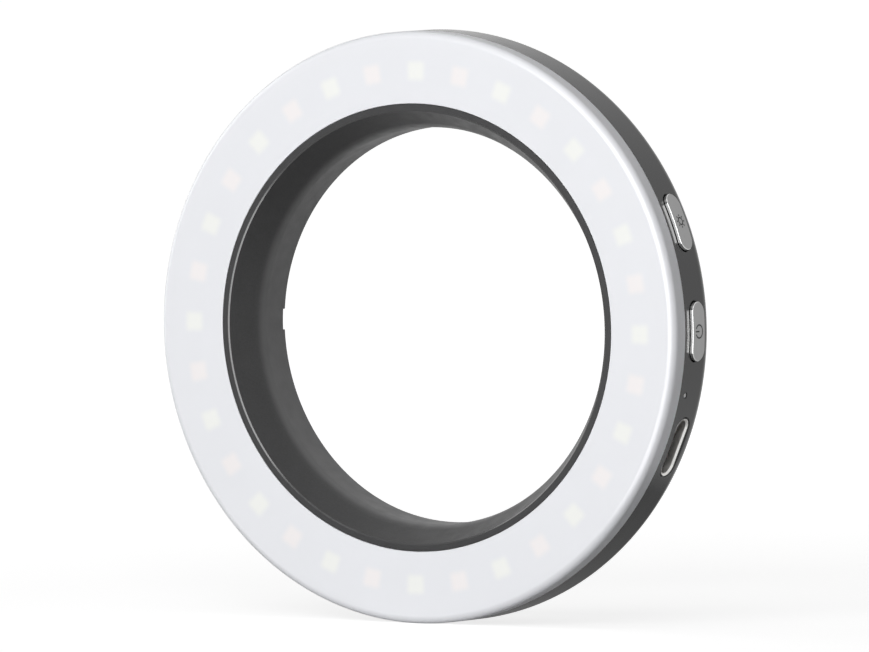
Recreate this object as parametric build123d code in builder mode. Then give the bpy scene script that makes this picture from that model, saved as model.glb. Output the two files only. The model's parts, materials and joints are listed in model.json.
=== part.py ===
from build123d import *

import os
from math import asin, cos, degrees, radians, sin, sqrt

# A rechargeable ring light that slides over the end of a lens barrel.
# Lengths are millimetres and angles are degrees. The ring's axis is Y: the light shines
# towards -Y, X points right and Z points up. The origin is on the axis at the rear rim.
# "Depth" is measured from the front face backwards. An angle around the ring starts at +X
# and grows towards +Z, anticlockwise for someone who looks at the light from the front.

# Overall ring
BORE_RADIUS = 28.5
FUNNEL_FLARE = 2.7
BEZEL_WIDTH = 1.0
LIGHT_BAND_WIDTH = 10.3
DEPTH = 11.6

# Clearances
FIT_GAP = 0.1
SLIDE_GAP = 0.1
SLOT_GAP = 0.15
COMPONENT_GAP = 0.3
PIN_GAP = 0.08

# Inner sleeve
SLEEVE_WALL = 1.3
FUNNEL_DEPTH = 4.9
FUNNEL_BLEND = 4.9
BEZEL_CHAMFER = 0.24
DIFFUSER_LEDGE = 1.0
BOARD_LEDGE = 0.7
LEDGE_THICKNESS = 1.0
FUNNEL_SHOULDER = 1.2
FUNNEL_SHOULDER_DEPTH = 5.6
COVER_LEDGE = 0.8
COVER_LEDGE_THICKNESS = 0.8
NOTCH_ANGLE = 180.0
NOTCH_WIDTH = 3.0
NOTCH_DEPTH = 0.6

# Front diffuser
DIFFUSER_FACE = 1.0
DIFFUSER_SKIRT_WALL = 1.3
DIFFUSER_SKIRT_DEPTH = 3.2
DIFFUSER_EDGE_RADIUS = 1.15
DIFFUSER_INNER_EDGE_RADIUS = 0.12
DIFFUSER_RIB_WIDTH = 0.8

# Outer housing
HOUSING_WALL = 1.3
REAR_EDGE_RADIUS = 2.85
REAR_LAND = 0.35
SPIGOT_WALL = 0.75
SPIGOT_LENGTH = 1.25
BOARD_SHELF = 1.35
COVER_SEAT = 1.2
COVER_SEAT_THICKNESS = 0.9

# Back cover and its screws
COVER_THICKNESS = 1.2
COVER_EDGE_CHAMFER = 0.15
SCREW_ANGLES = (50.0, 130.0, 230.0, 310.0)
BOSS_RADIUS = 1.9
BOSS_RIB_WIDTH = 2.0
SCREW_RADIUS = 0.7
SCREW_HEAD_RADIUS = 1.35
SCREW_LENGTH = 4.5
SCREW_HEAD_RECESS = 0.05
SCREW_CLEARANCE = 0.1
SCREW_RECESS_RADIUS = 0.42
SCREW_RECESS_DEPTH = 0.5

# LED board
LED_AIR_GAP = 0.15
LED_BOARD_THICKNESS = 1.0
LED_COUNT = 32
LED_INSET = 4.65
LED_SIZE = 3.0
LED_THICKNESS = 0.7
LED_WINDOW = 2.5
LED_WINDOW_CORNER = 0.4
LED_WINDOW_DEPTH = 0.25
FIRST_COOL_ANGLE = 90.0
LED_RESISTOR_COUNT = 16
LED_RESISTOR_SIZE = (2.0, 1.25, 0.5)

# Control board
BOARD_THICKNESS = 1.0
BOARD_INNER_GAP = 0.6
BOARD_START_ANGLE = -38.0
BOARD_END_ANGLE = 36.0
STANDOFF_HEIGHT = 1.35
STANDOFF_RADIUS = 1.4
STANDOFF_ANGLES = (-35.0, 6.0, 28.5)
BOARD_SCREW_RADIUS = 0.6
BOARD_SCREW_HEAD_RADIUS = 1.1
BOARD_SCREW_HEAD_HEIGHT = 0.6
BOARD_SCREW_GRIP = 1.1

# Push buttons
POWER_ANGLE = 0.4
BRIGHTNESS_ANGLE = 21.8
BUTTON_LENGTH = 8.5
BUTTON_WIDTH = 2.86
BUTTON_PROUD = 0.55
BUTTON_CHAMFER = 0.22
BUTTON_TRAVEL = 0.3
FLANGE_MARGIN = 0.8
FLANGE_THICKNESS = 0.7
SYMBOL_RADIUS = 1.0
SYMBOL_STROKE = 0.2
SYMBOL_INK = 0.06
POWER_GAP_WIDTH = 0.75
POWER_BAR_LENGTH = 1.05
SUN_DISC_RADIUS = 0.5
SUN_RAY_COUNT = 8
SUN_RAY_START = 0.68

# Switches under the buttons
SWITCH_WIDTH = 4.6
SWITCH_BODY_DEPTH = 3.4
SWITCH_HEIGHT = 3.0
PLUNGER_WIDTH = 2.4
PLUNGER_HEIGHT = 1.4
PLUNGER_REACH = 1.2
PLUNGER_ROOT = 0.5

# USB-C receptacle
USB_ANGLE = -22.8
USB_SHELL_LENGTH = 7.3
USB_SHELL_WIDTH = 8.94
USB_SHELL_HEIGHT = 3.26
USB_SHELL_WALL = 0.3
USB_RECESS = 0.3
USB_BLOCK_LENGTH = 2.4
USB_TONGUE_WIDTH = 6.69
USB_TONGUE_THICKNESS = 0.7
USB_TONGUE_SETBACK = 0.7
USB_CONTACT_COUNT = 12
USB_CONTACT_PITCH = 0.5
USB_CONTACT_WIDTH = 0.26
USB_CONTACT_LENGTH = 3.2
USB_CONTACT_THICKNESS = 0.04

# Indicator
INDICATOR_ANGLE = -12.0
INDICATOR_DEPTH = 4.9
LIGHT_PIPE_RADIUS = 0.43
LIGHT_PIPE_LENGTH = 3.4
LIGHT_PIPE_FOOT = 1.4
INDICATOR_LED_SIZE = (1.6, 1.0)
INDICATOR_LED_HEIGHT = 0.6

# Chips and small parts on the control board: angle, distance of the centre from the
# board's inner edge, size across the board, size along it, height
CHARGE_CHIP = (-12.0, 2.9, 3.0, 3.0, 0.8)
CONTROLLER_CHIP = (11.0, 7.1, 3.0, 3.4, 0.8)
DRIVER_CHIP = (-3.0, 2.2, 1.7, 2.9, 1.0)
INDUCTOR = (21.8, 2.3, 3.0, 3.0, 1.5)
INDUCTOR_CORNER = 0.5
SMALL_PART_LENGTH = 1.6
SMALL_PART_WIDTH = 0.8
SMALL_PART_HEIGHT = 0.5
CAPACITOR_SPOTS = ((-17.0, 1.6), (-20.5, 1.6), (-24.0, 1.6), (17.0, 1.4), (17.0, 3.0))
RESISTOR_SPOTS = ((-6.5, 5.6), (-8.0, 7.4), (1.4, 1.0), (26.0, 4.4), (-27.5, 1.6))

# Link between the two boards
LINK_ANGLE = 11.0
LINK_INSET = 4.2
LINK_PIN_COUNT = 4
LINK_PIN_PITCH = 1.27
LINK_PIN_RADIUS = 0.22
LINK_BAR_WIDTH = 1.6
LINK_BAR_HEIGHT = 1.6

# Battery
CELL_ANGLES = (90.0, 270.0)
CELL_LENGTH = 28.0
CELL_WIDTH = 7.8
CELL_THICKNESS = 4.6
CELL_CORNER = 1.2
CELL_SLEEVE_GAP = 0.5
FOAM_THICKNESS = 1.4
FOAM_WIDTH = 4.4
FOAM_LENGTH = 18.0
PROTECTION_BOARD_LENGTH = 3.2
PROTECTION_BOARD_WIDTH = 5.6
PROTECTION_BOARD_THICKNESS = 0.8
TAB_LENGTH = 1.2
TAB_WIDTH = 1.4
TAB_THICKNESS = 0.15
TAB_SPREAD = 3.6
LEAD_RADIUS = 0.42
LEAD_PITCH = 1.3
SOCKET_ANGLES = (31.5, -33.5)
SOCKET_WIDTH = 4.2
SOCKET_LENGTH = 3.0
SOCKET_HEIGHT = 3.0
SOCKET_EDGE_GAP = 1.1

# Radii that follow from the driving sizes
mouth_radius = BORE_RADIUS + FUNNEL_FLARE
bezel_radius = mouth_radius + BEZEL_WIDTH
outer_radius = bezel_radius + LIGHT_BAND_WIDTH
sleeve_radius = BORE_RADIUS + SLEEVE_WALL
ledge_radius = bezel_radius + DIFFUSER_LEDGE
flange_radius = ledge_radius + BOARD_LEDGE
skirt_inner_radius = outer_radius - DIFFUSER_SKIRT_WALL
spigot_radius = skirt_inner_radius - FIT_GAP
spigot_inner_radius = spigot_radius - SPIGOT_WALL
led_board_inner = ledge_radius + FIT_GAP
led_board_outer = spigot_inner_radius - FIT_GAP
shelf_inner_radius = led_board_outer - BOARD_SHELF
housing_inner_radius = outer_radius - HOUSING_WALL
cover_lip_radius = outer_radius - REAR_EDGE_RADIUS - REAR_LAND
cover_outer_radius = cover_lip_radius - FIT_GAP
cover_inner_radius = sleeve_radius + FIT_GAP
led_circle_radius = bezel_radius + LED_INSET
screw_circle_radius = sleeve_radius + BOSS_RADIUS + 2 * COMPONENT_GAP

# Depths that follow from the driving sizes
led_board_depth = DIFFUSER_FACE + LED_AIR_GAP + LED_THICKNESS
led_board_rear = led_board_depth + LED_BOARD_THICKNESS
cover_depth = DEPTH - COVER_THICKNESS
board_rear_depth = cover_depth - STANDOFF_HEIGHT
board_depth = board_rear_depth - BOARD_THICKNESS
button_depth = board_depth - SWITCH_HEIGHT / 2
usb_depth = board_depth - USB_SHELL_HEIGHT / 2

# Button stack, measured outwards from the ring's axis
flange_length = BUTTON_LENGTH + 2 * FLANGE_MARGIN
flange_width = BUTTON_WIDTH + 2 * FLANGE_MARGIN
flange_face = sqrt(housing_inner_radius**2 - (flange_length / 2) ** 2) - SLIDE_GAP
flange_back = flange_face - FLANGE_THICKNESS
switch_face = flange_back - PLUNGER_REACH
button_radius = outer_radius + BUTTON_PROUD

# Control board outline
board_inner_radius = sleeve_radius + BOARD_INNER_GAP
board_outer_radius = flange_back - BUTTON_TRAVEL - COMPONENT_GAP
standoff_circle_radius = sleeve_radius + COVER_LEDGE + COMPONENT_GAP + STANDOFF_RADIUS
link_radius = board_inner_radius + LINK_INSET

# Battery and its leads
cell_inner = sleeve_radius + CELL_SLEEVE_GAP
cell_centre = cell_inner + CELL_WIDTH / 2
cell_rear_depth = cover_depth - FOAM_THICKNESS
socket_circle_radius = board_outer_radius - SOCKET_EDGE_GAP - SOCKET_WIDTH / 2
lead_depth = board_depth - SOCKET_HEIGHT + 2 * LEAD_RADIUS
protection_depth = lead_depth + LEAD_RADIUS


def y_at(depth):
    """The Y of a depth behind the front face."""
    return depth - DEPTH


def front_plane(depth):
    """A plane across the ring's axis that faces the front, with +X right and +Y up."""
    return Plane(origin=(0, y_at(depth), 0), x_dir=(1, 0, 0), z_dir=(0, -1, 0))


def side_plane(angle, distance, depth):
    """A plane that faces outwards: its X runs around the ring and its Y to the front."""
    out = (cos(radians(angle)), 0, sin(radians(angle)))
    around = (-out[2], 0, out[0])
    origin = (out[0] * distance, y_at(depth), out[2] * distance)
    return Plane(origin=origin, x_dir=around, z_dir=out)


def across_plane(angle, depth):
    """A plane across the ring's channel: its X runs outwards and its Y to the rear."""
    out = (cos(radians(angle)), 0, sin(radians(angle)))
    around = (-out[2], 0, out[0])
    return Plane(origin=(0, y_at(depth), 0), x_dir=out, z_dir=around)


def outward_axis(angle):
    """A line from the ring's axis through a place on its side."""
    return Axis((0, 0, 0), (cos(radians(angle)), 0, sin(radians(angle))))


# Front diffuser: a flat opal face with a rounded outer edge, a skirt, and two ribs inside
# that press on the LED board
diffuser_inner = bezel_radius + FIT_GAP / 2
diffuser_outline = [
    (diffuser_inner, y_at(0)),
    (outer_radius, y_at(0)),
    (outer_radius, y_at(DIFFUSER_SKIRT_DEPTH)),
    (skirt_inner_radius, y_at(DIFFUSER_SKIRT_DEPTH)),
    (skirt_inner_radius, y_at(DIFFUSER_FACE)),
    (led_board_outer, y_at(DIFFUSER_FACE)),
    (led_board_outer, y_at(led_board_depth)),
    (led_board_outer - DIFFUSER_RIB_WIDTH, y_at(led_board_depth)),
    (led_board_outer - DIFFUSER_RIB_WIDTH, y_at(DIFFUSER_FACE)),
    (led_board_inner + DIFFUSER_RIB_WIDTH, y_at(DIFFUSER_FACE)),
    (led_board_inner + DIFFUSER_RIB_WIDTH, y_at(led_board_depth)),
    (led_board_inner, y_at(led_board_depth)),
    (led_board_inner, y_at(DIFFUSER_FACE)),
    (diffuser_inner, y_at(DIFFUSER_FACE)),
]
with BuildPart() as front_diffuser:
    with BuildSketch(Plane.XY):
        with BuildLine():
            Polyline(diffuser_outline, close=True)
        make_face()
        front_corner = vertices().sort_by_distance((outer_radius, y_at(0)))[0]
        fillet(front_corner, radius=DIFFUSER_EDGE_RADIUS)
        inner_corner = vertices().sort_by_distance((diffuser_inner, y_at(0)))[0]
        fillet(inner_corner, radius=DIFFUSER_INNER_EDGE_RADIUS)
    revolve(axis=Axis.Y)

# Inner sleeve: the bezel ring, the funnel and the bore in one moulding, with ledges that
# carry the diffuser, the LED board and the back cover, four screw bosses, and a notch
sleeve_outline = [
    (bezel_radius, y_at(0)),
    (bezel_radius, y_at(DIFFUSER_FACE)),
    (ledge_radius, y_at(DIFFUSER_FACE)),
    (ledge_radius, y_at(led_board_rear)),
    (flange_radius, y_at(led_board_rear)),
    (flange_radius, y_at(led_board_rear + LEDGE_THICKNESS)),
    (sleeve_radius + FUNNEL_SHOULDER, y_at(led_board_rear + LEDGE_THICKNESS)),
    (sleeve_radius, y_at(FUNNEL_SHOULDER_DEPTH)),
    (sleeve_radius, y_at(cover_depth - COVER_LEDGE_THICKNESS)),
    (sleeve_radius + COVER_LEDGE, y_at(cover_depth - COVER_LEDGE_THICKNESS)),
    (sleeve_radius + COVER_LEDGE, y_at(cover_depth)),
    (sleeve_radius, y_at(cover_depth)),
    (sleeve_radius, y_at(DEPTH)),
    (BORE_RADIUS, y_at(DEPTH)),
    (BORE_RADIUS, y_at(FUNNEL_DEPTH)),
    (mouth_radius, y_at(0)),
]
rib_length = screw_circle_radius - sleeve_radius + SLEEVE_WALL / 2
with BuildPart() as inner_sleeve:
    with BuildSketch(Plane.XY):
        with BuildLine():
            Polyline(sleeve_outline, close=True)
        make_face()
        throat = vertices().sort_by_distance((BORE_RADIUS, y_at(FUNNEL_DEPTH)))[0]
        fillet(throat, radius=FUNNEL_BLEND)
        mouth = vertices().sort_by_distance((mouth_radius, y_at(0)))[0]
        chamfer(mouth, length=BEZEL_CHAMFER)
    revolve(axis=Axis.Y)
    for screw_angle in SCREW_ANGLES:
        with BuildSketch(front_plane(cover_depth)):
            with PolarLocations(screw_circle_radius, 1, start_angle=screw_angle):
                Circle(BOSS_RADIUS)
        extrude(amount=cover_depth - led_board_rear)
        with BuildSketch(front_plane(cover_depth)):
            with PolarLocations(screw_circle_radius - rib_length / 2, 1, start_angle=screw_angle):
                Rectangle(rib_length, BOSS_RIB_WIDTH)
        extrude(amount=cover_depth - FUNNEL_SHOULDER_DEPTH)
    for screw_angle in SCREW_ANGLES:
        with BuildSketch(front_plane(cover_depth)):
            with PolarLocations(screw_circle_radius, 1, start_angle=screw_angle):
                Circle(SCREW_RADIUS)
        extrude(amount=SCREW_LENGTH, mode=Mode.SUBTRACT)
    with BuildSketch(side_plane(NOTCH_ANGLE, sleeve_radius + FIT_GAP, DEPTH)):
        Rectangle(NOTCH_WIDTH, 2 * NOTCH_DEPTH)
    extrude(amount=-(SLEEVE_WALL + 2 * FIT_GAP), mode=Mode.SUBTRACT)

# Outer housing: the dark ring behind the skirt, with a spigot that centres the diffuser,
# a shelf for the LED board, a seat for the back cover, and the openings in its side
housing_outline = [
    (outer_radius, y_at(DIFFUSER_SKIRT_DEPTH)),
    (outer_radius, y_at(DEPTH)),
    (cover_lip_radius, y_at(DEPTH)),
    (cover_lip_radius, y_at(cover_depth)),
    (cover_lip_radius - COVER_SEAT, y_at(cover_depth)),
    (cover_lip_radius - COVER_SEAT, y_at(cover_depth - COVER_SEAT_THICKNESS)),
    (housing_inner_radius, y_at(cover_depth - COVER_SEAT_THICKNESS)),
    (housing_inner_radius, y_at(led_board_rear + LEDGE_THICKNESS)),
    (shelf_inner_radius, y_at(led_board_rear + LEDGE_THICKNESS)),
    (shelf_inner_radius, y_at(led_board_rear)),
    (spigot_inner_radius, y_at(led_board_rear)),
    (spigot_inner_radius, y_at(DIFFUSER_SKIRT_DEPTH - SPIGOT_LENGTH)),
    (spigot_radius, y_at(DIFFUSER_SKIRT_DEPTH - SPIGOT_LENGTH)),
    (spigot_radius, y_at(DIFFUSER_SKIRT_DEPTH)),
]
with BuildPart() as outer_housing:
    with BuildSketch(Plane.XY):
        with BuildLine():
            Polyline(housing_outline, close=True)
        make_face()
        rear_corner = vertices().sort_by_distance((outer_radius, y_at(DEPTH)))[0]
        fillet(rear_corner, radius=REAR_EDGE_RADIUS)
    revolve(axis=Axis.Y)
    for button_angle in (POWER_ANGLE, BRIGHTNESS_ANGLE):
        with BuildSketch(side_plane(button_angle, button_radius, button_depth)):
            SlotOverall(BUTTON_LENGTH + 2 * SLOT_GAP, BUTTON_WIDTH + 2 * SLOT_GAP)
        extrude(amount=-(BUTTON_PROUD + 2 * HOUSING_WALL), mode=Mode.SUBTRACT)
    with BuildSketch(side_plane(USB_ANGLE, button_radius, usb_depth)):
        SlotOverall(USB_SHELL_WIDTH + 2 * SLOT_GAP, USB_SHELL_HEIGHT + 2 * SLOT_GAP)
    extrude(amount=-(BUTTON_PROUD + 2 * HOUSING_WALL), mode=Mode.SUBTRACT)
    with BuildSketch(side_plane(INDICATOR_ANGLE, button_radius, INDICATOR_DEPTH)):
        Circle(LIGHT_PIPE_RADIUS + PIN_GAP)
    extrude(amount=-(BUTTON_PROUD + 2 * HOUSING_WALL), mode=Mode.SUBTRACT)

# Back cover: a flat ring plate with countersunk holes and short posts for the board
cover_outline = [
    (cover_inner_radius, y_at(cover_depth)),
    (cover_outer_radius, y_at(cover_depth)),
    (cover_outer_radius, y_at(DEPTH)),
    (cover_inner_radius, y_at(DEPTH)),
]
with BuildPart() as back_cover:
    with BuildSketch(Plane.XY):
        with BuildLine():
            Polyline(cover_outline, close=True)
        make_face()
        cover_rear_corner = vertices().sort_by_distance((cover_outer_radius, y_at(DEPTH)))[0]
        chamfer(cover_rear_corner, length=COVER_EDGE_CHAMFER)
    revolve(axis=Axis.Y)
    for post_angle in STANDOFF_ANGLES:
        with BuildSketch(front_plane(cover_depth)):
            with PolarLocations(standoff_circle_radius, 1, start_angle=post_angle):
                Circle(STANDOFF_RADIUS)
        extrude(amount=STANDOFF_HEIGHT)
    for post_angle in STANDOFF_ANGLES:
        with BuildSketch(front_plane(board_rear_depth)):
            with PolarLocations(standoff_circle_radius, 1, start_angle=post_angle):
                Circle(BOARD_SCREW_RADIUS)
        extrude(amount=-BOARD_SCREW_GRIP, mode=Mode.SUBTRACT)
    rear_plane = Plane(origin=(0, 0, 0), x_dir=(1, 0, 0), z_dir=(0, 1, 0))
    for screw_angle in SCREW_ANGLES:
        with Locations(rear_plane):
            with PolarLocations(screw_circle_radius, 1, start_angle=-screw_angle):
                CounterSinkHole(
                    radius=SCREW_RADIUS + SCREW_CLEARANCE,
                    counter_sink_radius=SCREW_HEAD_RADIUS + SCREW_CLEARANCE,
                    depth=COVER_THICKNESS,
                    counter_sink_angle=90,
                )

# Back cover screws: countersunk, with a round drive recess, flush with the cover
head_cone = SCREW_HEAD_RADIUS - SCREW_RADIUS
screw_outline = [
    (0, -SCREW_HEAD_RECESS),
    (SCREW_HEAD_RADIUS, -SCREW_HEAD_RECESS),
    (SCREW_RADIUS, -SCREW_HEAD_RECESS - head_cone),
    (SCREW_RADIUS, -SCREW_LENGTH),
    (0, -SCREW_LENGTH),
]
with BuildPart() as back_cover_screws:
    for screw_angle in SCREW_ANGLES:
        head_plane = Plane(
            origin=(
                screw_circle_radius * cos(radians(screw_angle)),
                0,
                screw_circle_radius * sin(radians(screw_angle)),
            ),
            x_dir=(1, 0, 0),
            z_dir=(0, 0, 1),
        )
        with BuildSketch(head_plane):
            with BuildLine():
                Polyline(screw_outline, close=True)
            make_face()
        revolve(axis=Axis(head_plane.origin, (0, 1, 0)))
    for screw_angle in SCREW_ANGLES:
        with BuildSketch(front_plane(DEPTH)):
            with PolarLocations(screw_circle_radius, 1, start_angle=screw_angle):
                RegularPolygon(radius=SCREW_RECESS_RADIUS, side_count=6)
        extrude(amount=SCREW_HEAD_RECESS + SCREW_RECESS_DEPTH, mode=Mode.SUBTRACT)

# LED board: a flat ring with holes for the pins of the link header
def link_pin_places():
    """The places of the link pins, in a row square to the radius at LINK_ANGLE."""
    row_length = (LINK_PIN_COUNT - 1) * LINK_PIN_PITCH
    steps = [pin * LINK_PIN_PITCH - row_length / 2 for pin in range(LINK_PIN_COUNT)]
    out = Vector(cos(radians(LINK_ANGLE)), sin(radians(LINK_ANGLE)))
    around = Vector(-out.Y, out.X)
    return [out * link_radius + around * step for step in steps]


with BuildPart() as led_board:
    with BuildSketch(front_plane(led_board_rear)):
        Circle(led_board_outer)
        Circle(led_board_inner, mode=Mode.SUBTRACT)
        with Locations(*link_pin_places()):
            Circle(LINK_PIN_RADIUS + PIN_GAP, mode=Mode.SUBTRACT)
    extrude(amount=LED_BOARD_THICKNESS)


def led_packages(start_angle):
    """Every second LED package of the ring, with the pocket that its phosphor fills."""
    with BuildPart() as packages:
        with BuildSketch(front_plane(led_board_depth)):
            with PolarLocations(led_circle_radius, LED_COUNT // 2, start_angle=start_angle):
                Rectangle(LED_SIZE, LED_SIZE)
        extrude(amount=LED_THICKNESS)
        with BuildSketch(front_plane(led_board_depth - LED_THICKNESS)):
            with PolarLocations(led_circle_radius, LED_COUNT // 2, start_angle=start_angle):
                RectangleRounded(LED_WINDOW, LED_WINDOW, LED_WINDOW_CORNER)
        extrude(amount=-LED_WINDOW_DEPTH, mode=Mode.SUBTRACT)
    return packages


def led_phosphors(start_angle):
    """The phosphor windows of every second LED, filling their pockets."""
    with BuildPart() as phosphors:
        with BuildSketch(front_plane(led_board_depth - LED_THICKNESS)):
            with PolarLocations(led_circle_radius, LED_COUNT // 2, start_angle=start_angle):
                RectangleRounded(LED_WINDOW, LED_WINDOW, LED_WINDOW_CORNER)
        extrude(amount=-LED_WINDOW_DEPTH)
    return phosphors


first_warm_angle = FIRST_COOL_ANGLE + 360 / LED_COUNT
cool_led_packages = led_packages(FIRST_COOL_ANGLE)
warm_led_packages = led_packages(first_warm_angle)
cool_led_phosphors = led_phosphors(FIRST_COOL_ANGLE)
warm_led_phosphors = led_phosphors(first_warm_angle)

# LED board resistors: one behind each pair of LEDs
with BuildPart() as led_board_resistors:
    with BuildSketch(front_plane(led_board_rear)):
        with PolarLocations(led_circle_radius, LED_RESISTOR_COUNT, start_angle=FIRST_COOL_ANGLE):
            Rectangle(LED_RESISTOR_SIZE[1], LED_RESISTOR_SIZE[0])
    extrude(amount=-LED_RESISTOR_SIZE[2])

# Control board: an arc of circuit board on the cover's posts
board_span = BOARD_END_ANGLE - BOARD_START_ANGLE
board_middle_radius = (board_inner_radius + board_outer_radius) / 2
with BuildPart() as control_board:
    with BuildSketch(across_plane(BOARD_START_ANGLE, board_depth + BOARD_THICKNESS / 2)):
        with Locations((board_middle_radius, 0)):
            Rectangle(board_outer_radius - board_inner_radius, BOARD_THICKNESS)
    revolve(axis=Axis((0, 0, 0), (0, -1, 0)), revolution_arc=board_span)
    for post_angle in STANDOFF_ANGLES:
        with BuildSketch(front_plane(board_rear_depth)):
            with PolarLocations(standoff_circle_radius, 1, start_angle=post_angle):
                Circle(BOARD_SCREW_RADIUS + FIT_GAP)
        extrude(amount=BOARD_THICKNESS, mode=Mode.SUBTRACT)
    with BuildSketch(front_plane(board_rear_depth)):
        with Locations(*link_pin_places()):
            Circle(LINK_PIN_RADIUS + PIN_GAP)
    extrude(amount=BOARD_THICKNESS, mode=Mode.SUBTRACT)

# Control board screws: pan heads on the board, threads in the cover's posts
with BuildPart() as control_board_screws:
    for post_angle in STANDOFF_ANGLES:
        with BuildSketch(front_plane(board_depth)):
            with PolarLocations(standoff_circle_radius, 1, start_angle=post_angle):
                Circle(BOARD_SCREW_HEAD_RADIUS)
        extrude(amount=BOARD_SCREW_HEAD_HEIGHT)
    screw_heads = edges().filter_by(GeomType.CIRCLE).group_by(Axis.Y)[0]
    fillet(screw_heads, radius=BOARD_SCREW_HEAD_HEIGHT / 3)
    for post_angle in STANDOFF_ANGLES:
        with BuildSketch(front_plane(board_depth)):
            with PolarLocations(standoff_circle_radius, 1, start_angle=post_angle):
                Circle(BOARD_SCREW_RADIUS)
        extrude(amount=-(BOARD_THICKNESS + BOARD_SCREW_GRIP))


def push_button(angle):
    """A stadium button with a bevelled rim and a flange that keeps it in the housing."""
    with BuildPart() as button:
        with BuildSketch(side_plane(angle, flange_back, button_depth)):
            SlotOverall(flange_length, flange_width)
        extrude(amount=FLANGE_THICKNESS)
        with BuildSketch(side_plane(angle, flange_face, button_depth)):
            SlotOverall(BUTTON_LENGTH, BUTTON_WIDTH)
        extrude(amount=button_radius - flange_face + BUTTON_PROUD)
        Cylinder(button_radius, 2 * DEPTH, rotation=(90, 0, 0), mode=Mode.INTERSECT)
        cap_face = faces().sort_by(outward_axis(angle))[-1]
        chamfer(cap_face.edges(), length=BUTTON_CHAMFER)
    return button


def symbol_shell():
    """The thin layer under the buttons' curved faces that the symbols are inked into."""
    Cylinder(button_radius, 2 * DEPTH, rotation=(90, 0, 0), mode=Mode.INTERSECT)
    Cylinder(button_radius - SYMBOL_INK, 2 * DEPTH, rotation=(90, 0, 0), mode=Mode.SUBTRACT)


# Standby symbol: an open ring with a bar in its gap, turned to the front
with BuildPart() as power_symbol:
    with BuildSketch(side_plane(POWER_ANGLE, outer_radius, button_depth)):
        Circle(SYMBOL_RADIUS)
        Circle(SYMBOL_RADIUS - SYMBOL_STROKE, mode=Mode.SUBTRACT)
        with Locations((0, SYMBOL_RADIUS)):
            Rectangle(POWER_GAP_WIDTH, 2 * SYMBOL_STROKE + POWER_GAP_WIDTH, mode=Mode.SUBTRACT)
        with Locations((0, SYMBOL_RADIUS - POWER_BAR_LENGTH / 2)):
            Rectangle(SYMBOL_STROKE, POWER_BAR_LENGTH)
    extrude(amount=2 * BUTTON_PROUD)
    symbol_shell()

# Sun symbol: a ring and its rays
ray_length = SYMBOL_RADIUS - SUN_RAY_START
with BuildPart() as brightness_symbol:
    with BuildSketch(side_plane(BRIGHTNESS_ANGLE, outer_radius, button_depth)):
        Circle(SUN_DISC_RADIUS)
        Circle(SUN_DISC_RADIUS - SYMBOL_STROKE, mode=Mode.SUBTRACT)
        with PolarLocations(SUN_RAY_START + ray_length / 2, SUN_RAY_COUNT):
            Rectangle(ray_length, SYMBOL_STROKE)
    extrude(amount=2 * BUTTON_PROUD)
    symbol_shell()

# Buttons, with pockets for their symbols
power_blank = push_button(POWER_ANGLE)
with BuildPart() as power_button:
    add(power_blank.part)
    add(power_symbol.part, mode=Mode.SUBTRACT)
brightness_blank = push_button(BRIGHTNESS_ANGLE)
with BuildPart() as brightness_button:
    add(brightness_blank.part)
    add(brightness_symbol.part, mode=Mode.SUBTRACT)


def switch_body(angle):
    """A side-push switch on the control board, with a well for its plunger."""
    with BuildPart() as body:
        with BuildSketch(side_plane(angle, switch_face, button_depth)):
            Rectangle(SWITCH_WIDTH, SWITCH_HEIGHT)
        extrude(amount=-SWITCH_BODY_DEPTH)
        chamfer(edges().filter_by(outward_axis(angle)), length=FIT_GAP)
        with BuildSketch(side_plane(angle, switch_face, button_depth)):
            Rectangle(PLUNGER_WIDTH + 2 * PIN_GAP, PLUNGER_HEIGHT + 2 * PIN_GAP)
        extrude(amount=-(PLUNGER_ROOT + BUTTON_TRAVEL + SLIDE_GAP), mode=Mode.SUBTRACT)
    return body


def switch_plunger(angle):
    """The switch's plunger, which the button's flange rests on."""
    with BuildPart() as plunger:
        with BuildSketch(side_plane(angle, flange_back, button_depth)):
            RectangleRounded(PLUNGER_WIDTH, PLUNGER_HEIGHT, PLUNGER_HEIGHT / 4)
        extrude(amount=-(PLUNGER_REACH + PLUNGER_ROOT))
    return plunger


power_switch_body = switch_body(POWER_ANGLE)
power_switch_plunger = switch_plunger(POWER_ANGLE)
brightness_switch_body = switch_body(BRIGHTNESS_ANGLE)
brightness_switch_plunger = switch_plunger(BRIGHTNESS_ANGLE)

# USB-C receptacle: a steel shell, an insulator with its tongue, and the contacts
usb_mouth = outer_radius - USB_RECESS
usb_back = usb_mouth - USB_SHELL_LENGTH
with BuildPart() as usb_shell:
    with BuildSketch(side_plane(USB_ANGLE, usb_mouth, usb_depth)):
        SlotOverall(USB_SHELL_WIDTH, USB_SHELL_HEIGHT)
        SlotOverall(
            USB_SHELL_WIDTH - 2 * USB_SHELL_WALL,
            USB_SHELL_HEIGHT - 2 * USB_SHELL_WALL,
            mode=Mode.SUBTRACT,
        )
    extrude(amount=-USB_SHELL_LENGTH)

tongue_length = USB_SHELL_LENGTH - USB_BLOCK_LENGTH - USB_TONGUE_SETBACK
with BuildPart() as usb_insulator:
    with BuildSketch(side_plane(USB_ANGLE, usb_back, usb_depth)):
        SlotOverall(
            USB_SHELL_WIDTH - 2 * USB_SHELL_WALL,
            USB_SHELL_HEIGHT - 2 * USB_SHELL_WALL,
        )
    extrude(amount=USB_BLOCK_LENGTH)
    with BuildSketch(side_plane(USB_ANGLE, usb_back + USB_BLOCK_LENGTH, usb_depth)):
        Rectangle(USB_TONGUE_WIDTH, USB_TONGUE_THICKNESS)
    extrude(amount=tongue_length)

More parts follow.
